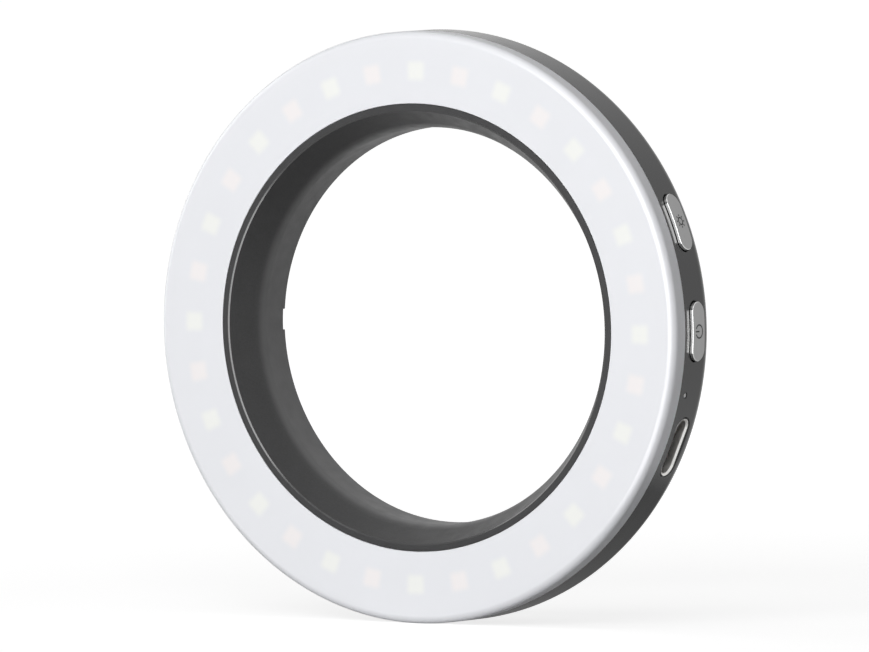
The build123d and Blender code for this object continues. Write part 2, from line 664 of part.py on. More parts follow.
contact_offset = (USB_TONGUE_THICKNESS + USB_CONTACT_THICKNESS) / 2
with BuildPart() as usb_contacts:
    with BuildSketch(side_plane(USB_ANGLE, usb_back + USB_BLOCK_LENGTH, usb_depth)):
        with GridLocations(USB_CONTACT_PITCH, 2 * contact_offset, USB_CONTACT_COUNT, 2):
            Rectangle(USB_CONTACT_WIDTH, USB_CONTACT_THICKNESS)
    extrude(amount=USB_CONTACT_LENGTH)

# Indicator: a light pipe that bends from the housing's hole down to an LED on the board
light_pipe_foot = LIGHT_PIPE_FOOT / 2
pipe_centre = outer_radius - LIGHT_PIPE_LENGTH - light_pipe_foot
with BuildPart() as indicator_light_pipe:
    with BuildSketch(side_plane(INDICATOR_ANGLE, pipe_centre, INDICATOR_DEPTH)):
        Circle(LIGHT_PIPE_RADIUS)
    extrude(amount=outer_radius - pipe_centre + BUTTON_PROUD)
    Cylinder(outer_radius, 2 * DEPTH, rotation=(90, 0, 0), mode=Mode.INTERSECT)
    with BuildSketch(front_plane(board_depth - INDICATOR_LED_HEIGHT)):
        with PolarLocations(pipe_centre, 1, start_angle=INDICATOR_ANGLE):
            Rectangle(LIGHT_PIPE_FOOT, LIGHT_PIPE_FOOT)
    extrude(amount=board_depth - INDICATOR_LED_HEIGHT - INDICATOR_DEPTH + light_pipe_foot)

with BuildPart() as indicator_led:
    with BuildSketch(front_plane(board_depth)):
        with PolarLocations(pipe_centre, 1, start_angle=INDICATOR_ANGLE):
            Rectangle(INDICATOR_LED_SIZE[1], INDICATOR_LED_SIZE[0])
    extrude(amount=INDICATOR_LED_HEIGHT)


def board_block(spot):
    """A chip on the control board, from its angle, inset and three sizes."""
    angle, inset, across, along, height = spot
    with BuildPart() as block:
        with BuildSketch(front_plane(board_depth)):
            with PolarLocations(board_inner_radius + inset, 1, start_angle=angle):
                Rectangle(across, along)
        extrude(amount=height)
        chamfer(faces().sort_by(Axis.Y)[0].edges(), length=FIT_GAP)
    return block


charge_chip = board_block(CHARGE_CHIP)
controller_chip = board_block(CONTROLLER_CHIP)
led_driver_chip = board_block(DRIVER_CHIP)

# Power inductor: a square block with rounded corners
with BuildPart() as power_inductor:
    with BuildSketch(front_plane(board_depth)):
        with PolarLocations(board_inner_radius + INDUCTOR[1], 1, start_angle=INDUCTOR[0]):
            RectangleRounded(INDUCTOR[2], INDUCTOR[3], INDUCTOR_CORNER)
    extrude(amount=INDUCTOR[4])
    chamfer(faces().sort_by(Axis.Y)[0].edges(), length=FIT_GAP)


def small_parts(spots):
    """Capacitors or resistors on the control board, each at an angle and an inset."""
    with BuildPart() as group:
        with BuildSketch(front_plane(board_depth)):
            for angle, inset in spots:
                with PolarLocations(board_inner_radius + inset, 1, start_angle=angle):
                    Rectangle(SMALL_PART_WIDTH, SMALL_PART_LENGTH)
        extrude(amount=SMALL_PART_HEIGHT)
    return group


board_capacitors = small_parts(CAPACITOR_SPOTS)
board_resistors = small_parts(RESISTOR_SPOTS)

# Link header: a plastic bar on the control board and pins up to the LED board
link_pin_length = board_rear_depth - led_board_depth
with BuildPart() as link_header_pins:
    with BuildSketch(front_plane(board_rear_depth)):
        with Locations(*link_pin_places()):
            Circle(LINK_PIN_RADIUS)
    extrude(amount=link_pin_length)

with BuildPart() as link_header_bar:
    with BuildSketch(front_plane(board_depth)):
        with PolarLocations(link_radius, 1, start_angle=LINK_ANGLE):
            Rectangle(LINK_BAR_WIDTH, LINK_PIN_COUNT * LINK_PIN_PITCH)
        with Locations(*link_pin_places()):
            Circle(LINK_PIN_RADIUS, mode=Mode.SUBTRACT)
    extrude(amount=LINK_BAR_HEIGHT)


def battery_cell(angle):
    """A flat pouch cell that lies along the channel."""
    with BuildPart() as cell:
        with BuildSketch(front_plane(cell_rear_depth)):
            with PolarLocations(cell_centre, 1, start_angle=angle):
                Rectangle(CELL_WIDTH, CELL_LENGTH)
        extrude(amount=CELL_THICKNESS)
        long_axis = Axis((0, 0, 0), tuple(side_plane(angle, 0, 0).x_dir))
        fillet(edges().filter_by(long_axis), radius=CELL_CORNER)
    return cell


upper_battery_cell = battery_cell(CELL_ANGLES[0])
lower_battery_cell = battery_cell(CELL_ANGLES[1])

# Foam pads: they hold the cells to the back cover
with BuildPart() as battery_foam_pads:
    with BuildSketch(front_plane(cover_depth)):
        for cell_angle in CELL_ANGLES:
            with PolarLocations(cell_centre, 1, start_angle=cell_angle):
                Rectangle(FOAM_WIDTH, FOAM_LENGTH)
    extrude(amount=FOAM_THICKNESS)


def cell_end(cell_angle):
    """Which way along its length a cell's terminals face: towards the control board."""
    return -1 if cell_angle < 180 else 1


# Protection boards at the cells' ends, and the tabs that carry them
protection_shift = (CELL_LENGTH + PROTECTION_BOARD_LENGTH) / 2 + FIT_GAP
with BuildPart() as battery_protection_boards:
    with BuildSketch(front_plane(protection_depth + PROTECTION_BOARD_THICKNESS)):
        for cell_angle in CELL_ANGLES:
            with PolarLocations(cell_centre, 1, start_angle=cell_angle):
                with Locations((0, cell_end(cell_angle) * protection_shift)):
                    Rectangle(PROTECTION_BOARD_WIDTH, PROTECTION_BOARD_LENGTH)
    extrude(amount=PROTECTION_BOARD_THICKNESS)

tab_shift = (CELL_LENGTH + TAB_LENGTH) / 2
with BuildPart() as battery_tabs:
    with BuildSketch(front_plane(protection_depth)):
        for cell_angle in CELL_ANGLES:
            with PolarLocations(cell_centre, 1, start_angle=cell_angle):
                with Locations((0, cell_end(cell_angle) * tab_shift)):
                    with GridLocations(TAB_SPREAD, 0, 2, 1):
                        Rectangle(TAB_WIDTH, TAB_LENGTH)
    extrude(amount=TAB_THICKNESS)

# Battery sockets: one at each end of the control board
with BuildPart() as battery_sockets:
    with BuildSketch(front_plane(board_depth)):
        for socket_angle in SOCKET_ANGLES:
            with PolarLocations(socket_circle_radius, 1, start_angle=socket_angle):
                Rectangle(SOCKET_WIDTH, SOCKET_LENGTH)
    extrude(amount=SOCKET_HEIGHT)


def degrees_over(length, radius):
    """How far round a circle of a radius a point is that stands a length off its radius."""
    return degrees(asin(length / radius))


def battery_leads(shift):
    """One lead for each cell: an arc along the channel, from its socket to its board."""
    lead_circle = socket_circle_radius + shift
    with BuildPart() as leads:
        for cell_angle, socket_angle in zip(CELL_ANGLES, SOCKET_ANGLES):
            turn = cell_end(cell_angle)
            near_cell = cell_angle if cell_angle < 180 else cell_angle - 360
            socket_half = SOCKET_LENGTH / 2 + FIT_GAP
            start = socket_angle - turn * degrees_over(socket_half, lead_circle)
            reach = CELL_LENGTH / 2 + TAB_LENGTH + LEAD_RADIUS + FIT_GAP
            end = near_cell + turn * degrees_over(reach, lead_circle)
            with BuildSketch(across_plane(min(start, end), lead_depth)):
                with Locations((lead_circle, 0)):
                    Circle(LEAD_RADIUS)
            revolve(axis=Axis((0, 0, 0), (0, -1, 0)), revolution_arc=abs(end - start))
    return leads


red_battery_leads = battery_leads(-LEAD_PITCH / 2)
black_battery_leads = battery_leads(LEAD_PITCH / 2)

pieces = {
    "front_diffuser": front_diffuser,
    "inner_sleeve": inner_sleeve,
    "outer_housing": outer_housing,
    "back_cover": back_cover,
    "back_cover_screws": back_cover_screws,
    "led_board": led_board,
    "cool_led_packages": cool_led_packages,
    "warm_led_packages": warm_led_packages,
    "cool_led_phosphors": cool_led_phosphors,
    "warm_led_phosphors": warm_led_phosphors,
    "led_board_resistors": led_board_resistors,
    "control_board": control_board,
    "control_board_screws": control_board_screws,
    "power_button": power_button,
    "power_symbol": power_symbol,
    "power_switch_body": power_switch_body,
    "power_switch_plunger": power_switch_plunger,
    "brightness_button": brightness_button,
    "brightness_symbol": brightness_symbol,
    "brightness_switch_body": brightness_switch_body,
    "brightness_switch_plunger": brightness_switch_plunger,
    "usb_shell": usb_shell,
    "usb_insulator": usb_insulator,
    "usb_contacts": usb_contacts,
    "indicator_light_pipe": indicator_light_pipe,
    "indicator_led": indicator_led,
    "charge_chip": charge_chip,
    "controller_chip": controller_chip,
    "led_driver_chip": led_driver_chip,
    "power_inductor": power_inductor,
    "board_capacitors": board_capacitors,
    "board_resistors": board_resistors,
    "link_header_bar": link_header_bar,
    "link_header_pins": link_header_pins,
    "upper_battery_cell": upper_battery_cell,
    "lower_battery_cell": lower_battery_cell,
    "battery_foam_pads": battery_foam_pads,
    "battery_protection_boards": battery_protection_boards,
    "battery_tabs": battery_tabs,
    "battery_sockets": battery_sockets,
    "red_battery_leads": red_battery_leads,
    "black_battery_leads": black_battery_leads,
}

os.makedirs("parts", exist_ok=True)
for name, piece in pieces.items():
    piece.part.label = name
    export_step(piece.part, f"parts/{name}.step")
print(len(pieces), "pieces, outer diameter", 2 * outer_radius, "depth", DEPTH)
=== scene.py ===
# %% [markdown]
# A small LED ring light that slips over the front of a camera lens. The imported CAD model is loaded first
# and stays fixed: it says where everything is. The pieces that the eye sees are then modelled again with
# soft edges and fine curves, at the very places that the CAD gives, and every part gets its own finish.

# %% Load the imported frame
import json
import math

import bmesh
import bpy
from mathutils import Matrix, Vector


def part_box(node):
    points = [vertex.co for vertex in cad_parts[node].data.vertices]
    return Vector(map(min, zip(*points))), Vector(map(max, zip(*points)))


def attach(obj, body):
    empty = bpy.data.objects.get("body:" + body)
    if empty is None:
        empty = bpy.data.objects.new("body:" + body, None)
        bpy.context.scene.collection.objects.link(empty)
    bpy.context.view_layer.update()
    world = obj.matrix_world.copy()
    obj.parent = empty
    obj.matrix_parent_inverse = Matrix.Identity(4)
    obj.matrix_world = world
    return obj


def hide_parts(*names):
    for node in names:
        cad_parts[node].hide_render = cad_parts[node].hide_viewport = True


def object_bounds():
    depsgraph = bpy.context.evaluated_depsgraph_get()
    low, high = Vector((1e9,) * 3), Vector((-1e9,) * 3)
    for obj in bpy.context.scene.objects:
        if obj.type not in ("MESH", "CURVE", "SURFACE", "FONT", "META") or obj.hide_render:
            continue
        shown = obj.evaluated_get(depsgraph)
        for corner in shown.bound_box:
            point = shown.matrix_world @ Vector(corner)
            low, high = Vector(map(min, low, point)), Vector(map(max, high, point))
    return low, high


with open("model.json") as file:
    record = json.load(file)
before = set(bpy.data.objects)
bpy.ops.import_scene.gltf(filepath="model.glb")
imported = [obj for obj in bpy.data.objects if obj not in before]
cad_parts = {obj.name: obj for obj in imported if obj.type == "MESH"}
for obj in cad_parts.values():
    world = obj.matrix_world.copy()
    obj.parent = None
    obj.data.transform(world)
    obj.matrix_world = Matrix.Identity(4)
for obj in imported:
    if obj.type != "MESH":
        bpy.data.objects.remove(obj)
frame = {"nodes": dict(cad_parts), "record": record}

cad_low, cad_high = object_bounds()
nodes = frame["nodes"]

# %% [markdown]
# The ring stands upright with its axis along Y, and its light shines towards -Y. Places on it are given as
# a radius and a depth behind the front face, in millimetres, so the modelling is done in millimetres as
# well, and each finished mesh is scaled to metres at the end. The front face's place comes from the CAD.

# %% Units and the place of the front face
MM = 0.001
FRONT_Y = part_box("front_diffuser")[0].y / MM
REAR = 11.6


def at_depth(depth):
    """The Y of a depth behind the front face, in millimetres."""
    return FRONT_Y + depth


print("front face at y =", round(FRONT_Y, 3), "mm")

# %% [markdown]
# Nothing moulded or pressed has a perfectly sharp edge. Bevelling rounds it, here on the mesh rather than
# by a modifier, so that each edge can have its own size. A second helper turns all faces outwards.

# %% Rounding and the way that faces look
def round_off(bm, what, size, segments, affect="EDGES", clamp=True):
    """Bevels edges or corners by a size."""
    bmesh.ops.bevel(bm, geom=what, offset=size, offset_type="OFFSET", affect=affect, segments=segments,
                    profile=0.5, material=-1, clamp_overlap=clamp)


def face_outwards(bm):
    """Turns every face of a mesh outwards."""
    bmesh.ops.recalc_face_normals(bm, faces=bm.faces[:])


# %% [markdown]
# Most of this light is turned: the same section goes all the way round. In Blender such a shape starts as
# one flat face, the section. Bevelling its corners as vertices rounds them, small for a moulded edge and
# large for a real fillet. Then the face is taken away and its outline is spun once round the axis and
# merged where it meets itself. A Screw modifier could do the spin too, but the mesh is needed at once
# here, for cutting openings.

# %% Spin a section into a ring
RING_STEPS, EDGE_SEGMENTS = 256, 3
EDGE_ROUND, SEAM_ROUND = 0.05, 0.02
MERGE = 1e-5


def spin_round(bm, steps):
    """Spins an outline once round the axis and closes it."""
    bmesh.ops.spin(bm, geom=bm.verts[:] + bm.edges[:], cent=(0, 0, 0), axis=(0, 1, 0), dvec=(0, 0, 0),
                   angle=2 * math.pi, steps=steps, use_merge=True)
    bmesh.ops.remove_doubles(bm, verts=bm.verts[:], dist=MERGE)
    face_outwards(bm)


def ring_from_section(section, fillets, edge_round=EDGE_ROUND):
    """Rounds the corners of a section of (radius, depth) points and spins it round the axis.

    Each fillet is a corner, its radius and its number of segments; all other corners get edge_round.
    """
    bm = bmesh.new()
    corners = [bm.verts.new((radius, at_depth(depth), 0.0)) for radius, depth in section]
    bm.faces.new(corners)
    filleted = []
    for (radius, depth), size, segments in fillets:
        place = Vector((radius, at_depth(depth), 0.0))
        corner = min(corners, key=lambda v: (v.co - place).length if v.is_valid else 1e9)
        filleted.append(corner)
        round_off(bm, [corner], size, segments, affect="VERTICES")
    left = [v for v in corners if v.is_valid and v not in filleted]
    round_off(bm, left, edge_round, EDGE_SEGMENTS, affect="VERTICES")
    bmesh.ops.delete(bm, geom=bm.faces[:], context="FACES_ONLY")
    spin_round(bm, RING_STEPS)
    return bm


# %% [markdown]
# A finished mesh becomes a piece: an object at the origin, smooth shaded, with sharp lines only where the
# surface really turns. The Weighted Normal modifier lets large faces keep their own direction, so a flat
# face beside a tiny rounding doesn't shade as if it were bent. The piece rides on its CAD body and hides
# the
# CAD nodes that it stands for.

# %% Turn a mesh into a piece
SHARP_DEGREES = 38


def loose_object(name, bm):
    """A plain object in the scene, made from a mesh in millimetres."""
    mesh = bpy.data.meshes.new(name)
    bm.to_mesh(mesh)
    bm.free()
    obj = bpy.data.objects.new(name, mesh)
    bpy.context.scene.collection.objects.link(obj)
    return obj


def make_piece(name, bm, stands_for, body="light_body", sharp_degrees=SHARP_DEGREES):
    """Scales a mesh to metres and makes it a piece of the light."""
    bmesh.ops.transform(bm, matrix=Matrix.Scale(MM, 4), verts=bm.verts[:])
    piece = loose_object(name, bm)
    piece.data.shade_smooth()
    piece.data.set_sharp_from_angle(angle=math.radians(sharp_degrees))
    weighted = piece.modifiers.new("even_faces", "WEIGHTED_NORMAL")
    weighted.mode = "FACE_AREA"
    weighted.keep_sharp = True
    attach(piece, body)
    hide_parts(*stands_for)
    print(name, "faces:", len(piece.data.polygons))
    return piece


# %% [markdown]
# Holes and slots are taken out with Boolean modifiers, as a milling cutter would take them out. The tool
# is a mesh of its own, and it is thrown away when the cut is made, so no live Boolean stays on the piece.

# %% Cut openings
CUT_MERGE, CUT_SLIVER = 2e-3, 1e-3


def cut_away(bm, tools):
    """The mesh with each of the tool meshes taken out of it."""
    body = loose_object("body_to_cut", bm)
    cutters = []
    for tool in tools:
        cutter = loose_object("cutter", tool)
        cutters.append(cutter)
        boolean = body.modifiers.new("cut", "BOOLEAN")
        boolean.operation = "DIFFERENCE"
        boolean.solver = "EXACT"
        boolean.object = cutter
    result = bmesh.new()
    result.from_object(body, bpy.context.evaluated_depsgraph_get())
    bmesh.ops.remove_doubles(result, verts=result.verts[:], dist=CUT_MERGE)
    bmesh.ops.dissolve_degenerate(result, edges=result.edges[:], dist=CUT_SLIVER)
    for obj in [body] + cutters:
        mesh = obj.data
        bpy.data.objects.remove(obj)
        bpy.data.meshes.remove(mesh)
    return result


# %% [markdown]
# One moulding can have several closed shapes, such as the sleeve and its screw bosses. They are kept as
# separate shells in one mesh: a Boolean union would look the same and could leave thin faces.

# %% Join meshes
def take_in(bm, extra):
    """Copies another mesh into this one and lets the other go."""
    carrier = bpy.data.meshes.new("carrier")
    extra.to_mesh(carrier)
    extra.free()
    bm.from_mesh(carrier)
    bpy.data.meshes.remove(carrier)


# %% [markdown]
# The buttons, the port and their openings are all stadiums: a rectangle with fully round ends. A single
# face bevelled at its four corners by half its width gives exactly that. Everything on the side is first
# modelled at the ring's +X side, where "out" is +X and "along the rim" is Z.

# %% Stadiums
END_SEGMENTS, STRIPS = 12, 12
SHORT_STRAIGHT = 0.5
STADIUM_MERGE, ON_THE_CUT = 1e-4, 2e-4


def moved(out, depth):
    """A matrix that moves to a place on the +X side."""
    return Matrix.Translation((out, at_depth(depth), 0))


def stadium(bm, length, width, out, depth):
    """A stadium face that looks outwards (+X), its length along Z, at a radius and a depth."""
    place = moved(out, depth) @ Matrix.Rotation(math.pi / 2, 4, "Y")
    made = bmesh.ops.create_grid(bm, x_segments=1, y_segments=1, size=0.5,
                                 matrix=place @ Matrix.Diagonal((length, width, 1, 1)))
    round_off(bm, made["verts"], width / 2, END_SEGMENTS, affect="VERTICES", clamp=False)
    bmesh.ops.remove_doubles(bm, verts=bm.verts[:], dist=STADIUM_MERGE)
    face_outwards(bm)


def cut_into_strips(bm, straight_half):
    """Cuts a stadium across into narrow strips, so that it can be bent round the ring."""
    places = {round(vert.co.z, 4) for vert in bm.verts}
    if straight_half > SHORT_STRAIGHT:
        places |= {straight_half * number / STRIPS for number in range(1 - STRIPS, STRIPS)}
    for place in sorted(places)[1:-1]:
        bmesh.ops.bisect_plane(bm, geom=bm.verts[:] + bm.edges[:] + bm.faces[:], dist=ON_THE_CUT,
                               plane_co=(0, 0, place), plane_no=(0, 0, 1))


# %% [markdown]
# Faces pulled out along a line turn a flat stadium into a bar or a tube. The shape is then turned about the
# ring's axis to its own angle. Bosses, posts and screw holes are round bars, all on one circle.

# %% Bars, and the turn to a ring angle
BAR_SIDES, SCREW_CIRCLE = 32, 32.3


def extrude_faces(bm, faces, shift):
    """Pulls faces out by a vector and gives the new end faces back."""
    edges = list({edge for face in faces for edge in face.edges})
    grown = bmesh.ops.extrude_face_region(bm, geom=faces + edges)
    ends = [e for e in grown["geom"] if isinstance(e, bmesh.types.BMFace)]
    pulled = [e for e in grown["geom"] if isinstance(e, bmesh.types.BMVert)]
    bmesh.ops.translate(bm, verts=pulled, vec=shift)
    return ends


def turned(bm, angle):
    """Turns a mesh about the ring's axis, from the +X side to its ring angle in degrees."""
    bmesh.ops.rotate(bm, verts=bm.verts[:], cent=(0, 0, 0),
                     matrix=Matrix.Rotation(-math.radians(angle), 3, "Y"))
    return bm


def round_bar(radius, depth_from, depth_to, angle, sides=BAR_SIDES, radius_to=None):
    """A bar that runs from one depth to another on the screw circle, at a ring angle."""
    bm = bmesh.new()
    place = moved(SCREW_CIRCLE, (depth_from + depth_to) / 2) @ Matrix.Rotation(math.pi / 2, 4, "X")
    bmesh.ops.create_cone(bm, cap_ends=True, cap_tris=False, segments=sides, radius1=radius_to or radius,
                          radius2=radius, depth=depth_to - depth_from, matrix=place)
    return turned(bm, angle)


# %% [markdown]
# The front of the light is one opal moulding: a flat ring face, a generous rounding at its outer edge and
# a skirt that comes down the side. Two ribs on its back press on the LED board. The section's big corner
# is rounded with many segments because the eye follows that highlight all the way round the light.

# %% Front diffuser
OUTER, BEZEL, BEZEL_GAP = 42.499, 32.1, 0.05
SKIRT_DEPTH, SKIRT_INNER = 3.2, 41.2
FACE_WALL, FRONT_ROUND, INNER_ROUND = 1.0, 1.15, 0.07
RIBS, RIB_DEPTH = ((40.25, 39.45), (34.1, 33.3)), 1.85
opal_inner = BEZEL + BEZEL_GAP
diffuser_section = [(opal_inner, 0.0), (OUTER, 0.0), (OUTER, SKIRT_DEPTH), (SKIRT_INNER, SKIRT_DEPTH),
                    (SKIRT_INNER, FACE_WALL)]
for rib_outer, rib_inner in RIBS:
    diffuser_section += [(rib_outer, FACE_WALL), (rib_outer, RIB_DEPTH), (rib_inner, RIB_DEPTH),
                         (rib_inner, FACE_WALL)]
diffuser_section.append((opal_inner, FACE_WALL))
diffuser_fillets = [((OUTER, 0.0), FRONT_ROUND, 14), ((opal_inner, 0.0), INNER_ROUND, 4)]
diffuser_mesh = ring_from_section(diffuser_section, diffuser_fillets, edge_round=SEAM_ROUND)
diffuser = make_piece("opal_diffuser_ring", diffuser_mesh, ["front_diffuser"])

# %% [markdown]
# The dark sleeve fills the opening. Its bezel lies level with the diffuser, a fine bright chamfer runs
# round the mouth, and a funnel narrows to the bore that slips over the lens. The funnel flows into the
# bore without an edge, so that corner has a very large rounding. On the far side of the wall stand a ledge
# for the LED board and a seat for the cover.

# %% Sleeve section
BORE, MOUTH, FUNNEL_END = 28.5, 31.1, 4.9
FUNNEL_ROUND, MOUTH_CHAMFER, BORE_ROUND = 1.55, 0.14, 0.15
SLEEVE_OUTER, SLEEVE_BACK = 29.8, 5.6
BOARD_HOLE, LEDGE_RIM, LEDGE_FOOT = 33.2, 33.9, 31.0
LEDGE_FRONT, LEDGE_REAR = 2.85, 3.85
COVER_FRONT, COVER_SEAT, SEAT_FRONT = 10.4, 30.6, 9.6
sleeve_section = [
    (BEZEL, 0.0), (BEZEL, FACE_WALL), (BOARD_HOLE, FACE_WALL), (BOARD_HOLE, LEDGE_FRONT),
    (LEDGE_RIM, LEDGE_FRONT), (LEDGE_RIM, LEDGE_REAR), (LEDGE_FOOT, LEDGE_REAR),
    (SLEEVE_OUTER, SLEEVE_BACK), (SLEEVE_OUTER, SEAT_FRONT), (COVER_SEAT, SEAT_FRONT),
    (COVER_SEAT, COVER_FRONT), (SLEEVE_OUTER, COVER_FRONT), (SLEEVE_OUTER, REAR), (BORE, REAR),
    (BORE, FUNNEL_END), (MOUTH, 0.0),
]
sleeve_fillets = [((BORE, FUNNEL_END), FUNNEL_ROUND, 10), ((MOUTH, 0.0), MOUTH_CHAMFER, 1),
                  ((BORE, REAR), BORE_ROUND, 3)]
sleeve_ring = ring_from_section(sleeve_section, sleeve_fillets)
print("faces of the plain sleeve:", len(sleeve_ring.faces))

# %% [markdown]
# A small notch in the rear rim shows which way round the light sits, and four bosses carry the rear
# screws, each tied to the wall by a short rib. Boss and rib are cut with the same screw hole before they
# join the sleeve, because a cut through one closed shape is safer than a cut through several.

# %% Inner sleeve
NOTCH_MIDDLE, NOTCH_SIZE = -29.1, (6.0, 1.2, 3.0)
SCREW_ANGLES = (50, 130, 230, 310)
BOSS_RADIUS, SCREW_RADIUS, SCREW_HOLE = 1.9, 0.7, (5.9, 10.6)
TIE_INNER, TIE_WIDTH = 29.15, 2.0
SLEEVE_SHARP = 26


def block(out, depth, size):
    """A box with its middle at a place on the +X side; its size is given outwards, along Y and along Z."""
    bm = bmesh.new()
    bmesh.ops.create_cube(bm, size=1, matrix=moved(out, depth) @ Matrix.Diagonal((*size, 1)))
    return bm


sleeve_mesh = cut_away(sleeve_ring, [block(NOTCH_MIDDLE, REAR, NOTCH_SIZE)])
for angle in SCREW_ANGLES:
    boss = round_bar(BOSS_RADIUS, LEDGE_FRONT, COVER_FRONT, angle)
    tie = block((TIE_INNER + SCREW_CIRCLE) / 2, (SLEEVE_BACK + COVER_FRONT) / 2,
                (SCREW_CIRCLE - TIE_INNER, COVER_FRONT - SLEEVE_BACK, TIE_WIDTH))
    for support in (boss, turned(tie, angle)):
        take_in(sleeve_mesh, cut_away(support, [round_bar(SCREW_RADIUS, *SCREW_HOLE, angle)]))
sleeve = make_piece("funnel_sleeve", sleeve_mesh, ["inner_sleeve"],
                    sharp_degrees=SLEEVE_SHARP)

# %% [markdown]
# The side has openings with a small chamfer. Each tool that cuts one is a stadium bar that flares a little
# where it leaves the surface, which leaves the chamfer behind. Its outer rows follow the housing's own
# curve, so the chamfer is even all round. Bevelling the edge after the cut would be the usual way, but it
# comes out uneven on a curved wall.

# %% A tool that cuts a slot
SLOT_CHAMFER, SLOT_FLOOR = 0.06, 36.0
TOOL_REACH = 2.0


def bend_round(bm, beyond=0.0):
    """Bends what lies further out than a radius round the ring, so that flat sheets become curved."""
    for vert in bm.verts:
        if vert.co.x > beyond:
            vert.co.x = math.sqrt(vert.co.x ** 2 - vert.co.z ** 2)


def slot_tool(length, width, angle, depth, chamfer=SLOT_CHAMFER):
    """A stadium cutter that flares at the housing's surface, turned to its ring angle."""
    bm = bmesh.new()
    stadium(bm, length, width, SLOT_FLOOR, depth)
    cut_into_strips(bm, (length - width) / 2)
    ends = extrude_faces(bm, bm.faces[:], (OUTER - chamfer - SLOT_FLOOR, 0, 0))
    for reach, grow in ((2 * chamfer, 2 * chamfer), (TOOL_REACH, 0.0)):
        ends = extrude_faces(bm, ends, (reach, 0, 0))
        if grow:
            for vert in {v for face in ends for v in face.verts}:
                side = math.copysign(max(abs(vert.co.z) - (length - width) / 2, 0), vert.co.z)
                over = Vector((0, vert.co.y - at_depth(depth), side))
                vert.co += over.normalized() * grow
    bend_round(bm, beyond=SLOT_FLOOR + 1)
    face_outwards(bm)
    return turned(bm, angle)


# %% [markdown]
# Ring angles are counted upwards from the +X side. The power button sits almost in the middle there, the
# brightness button above it, the indicator and the port below. Each opening is as large as what it holds
# plus a gap, which is wide for the buttons, because they move, and narrow for the port.

# %% Tools for the slots
POWER_ANGLE, BRIGHTNESS_ANGLE, USB_ANGLE, LIGHT_ANGLE = 0.4, 21.8, -22.8, -12.0
BUTTON_DEPTH, USB_DEPTH, LIGHT_DEPTH = 6.305, 6.42, 4.9
BUTTON_LENGTH, BUTTON_WIDTH, BUTTON_GAP = 8.5, 3.35, 0.15
USB_LENGTH, USB_WIDTH, USB_GAP, USB_CHAMFER = 8.94, 3.26, 0.04, 0.24
LIGHT_HOLE, LIGHT_CHAMFER = (0.91, 0.9), 0.02
slot_tools = [
    slot_tool(BUTTON_LENGTH + 2 * BUTTON_GAP, BUTTON_WIDTH + 2 * BUTTON_GAP, angle, BUTTON_DEPTH)
    for angle in (POWER_ANGLE, BRIGHTNESS_ANGLE)
]
slot_tools.append(slot_tool(USB_LENGTH + 2 * USB_GAP, USB_WIDTH + 2 * USB_GAP, USB_ANGLE, USB_DEPTH,
                            chamfer=USB_CHAMFER))
slot_tools.append(slot_tool(*LIGHT_HOLE, LIGHT_ANGLE, LIGHT_DEPTH, chamfer=LIGHT_CHAMFER))
print("slot tools:", len(slot_tools))

# %% [markdown]
# The dark housing goes round the side behind the diffuser and turns over the rear edge in one soft curve.
# In front a spigot reaches under the diffuser's skirt, and a shelf behind it holds the rim of the LED
# board. At the rear a step takes the cover. The edges at the seam are kept almost sharp, so that only a
# fine line shows where white meets black.

# %% Outer housing
HOUSING_INNER, REAR_ROUND = 41.2, 2.85
SPIGOT, SPIGOT_INNER, SPIGOT_FRONT, SHELF_INNER = 41.1, 40.35, 1.95, 38.9
COVER_OPENING, STEP_INNER, STEP_FRONT = 39.3, 38.1, 9.5
housing_section = [
    (OUTER, SKIRT_DEPTH), (OUTER, REAR), (COVER_OPENING, REAR), (COVER_OPENING, COVER_FRONT),
    (STEP_INNER, COVER_FRONT), (STEP_INNER, STEP_FRONT), (HOUSING_INNER, STEP_FRONT),
    (HOUSING_INNER, LEDGE_REAR), (SHELF_INNER, LEDGE_REAR), (SHELF_INNER, LEDGE_FRONT),
    (SPIGOT_INNER, LEDGE_FRONT), (SPIGOT_INNER, SPIGOT_FRONT), (SPIGOT, SPIGOT_FRONT),
    (SPIGOT, SKIRT_DEPTH),
]
housing_ring = ring_from_section(housing_section, [((OUTER, REAR), REAR_ROUND, 14)], edge_round=SEAM_ROUND)
housing_mesh = cut_away(housing_ring, slot_tools)
housing = make_piece("side_housing", housing_mesh, ["outer_housing"])

# %% [markdown]
# The back is closed by a flat ring plate, held by four small countersunk screws. The plate is spun like
# the rest, and each screw hole is cut with a bar and a cone that stand a little out at the back. Three
# short posts on its inside carry the control board.

# %% Back cover
COVER_INNER, COVER_OUTER, COVER_ROUND = 29.9, 39.2, 0.15
CUT_END = 12.0
HOLE_RADIUS, HOLE_START = 0.8, 10.0
SINK_WIDE, SINK_NARROW, SINK_START = 1.85, 0.55, 10.7
POST_ANGLES, POST_RADIUS, POST_TOP = (-35, 6, 28.5), 1.4, 9.05
PIN_RADIUS, PIN_HOLE = 0.6, (8.9, 10.15)
cover_section = [
    (COVER_INNER, COVER_FRONT), (COVER_OUTER, COVER_FRONT), (COVER_OUTER, REAR), (COVER_INNER, REAR),
]
hole_tools = []
for angle in SCREW_ANGLES:
    hole_tools.append(round_bar(HOLE_RADIUS, HOLE_START, CUT_END, angle))
    hole_tools.append(round_bar(SINK_WIDE, SINK_START, CUT_END, angle, radius_to=SINK_NARROW))
cover_ring = ring_from_section(cover_section, [((COVER_OUTER, REAR), COVER_ROUND, 3)])
cover_mesh = cut_away(cover_ring, hole_tools)
for angle in POST_ANGLES:
    post = round_bar(POST_RADIUS, POST_TOP, COVER_FRONT, angle)
    take_in(cover_mesh, cut_away(post, [round_bar(PIN_RADIUS, *PIN_HOLE, angle)]))
cover = make_piece("rear_cover_plate", cover_mesh, ["back_cover"])

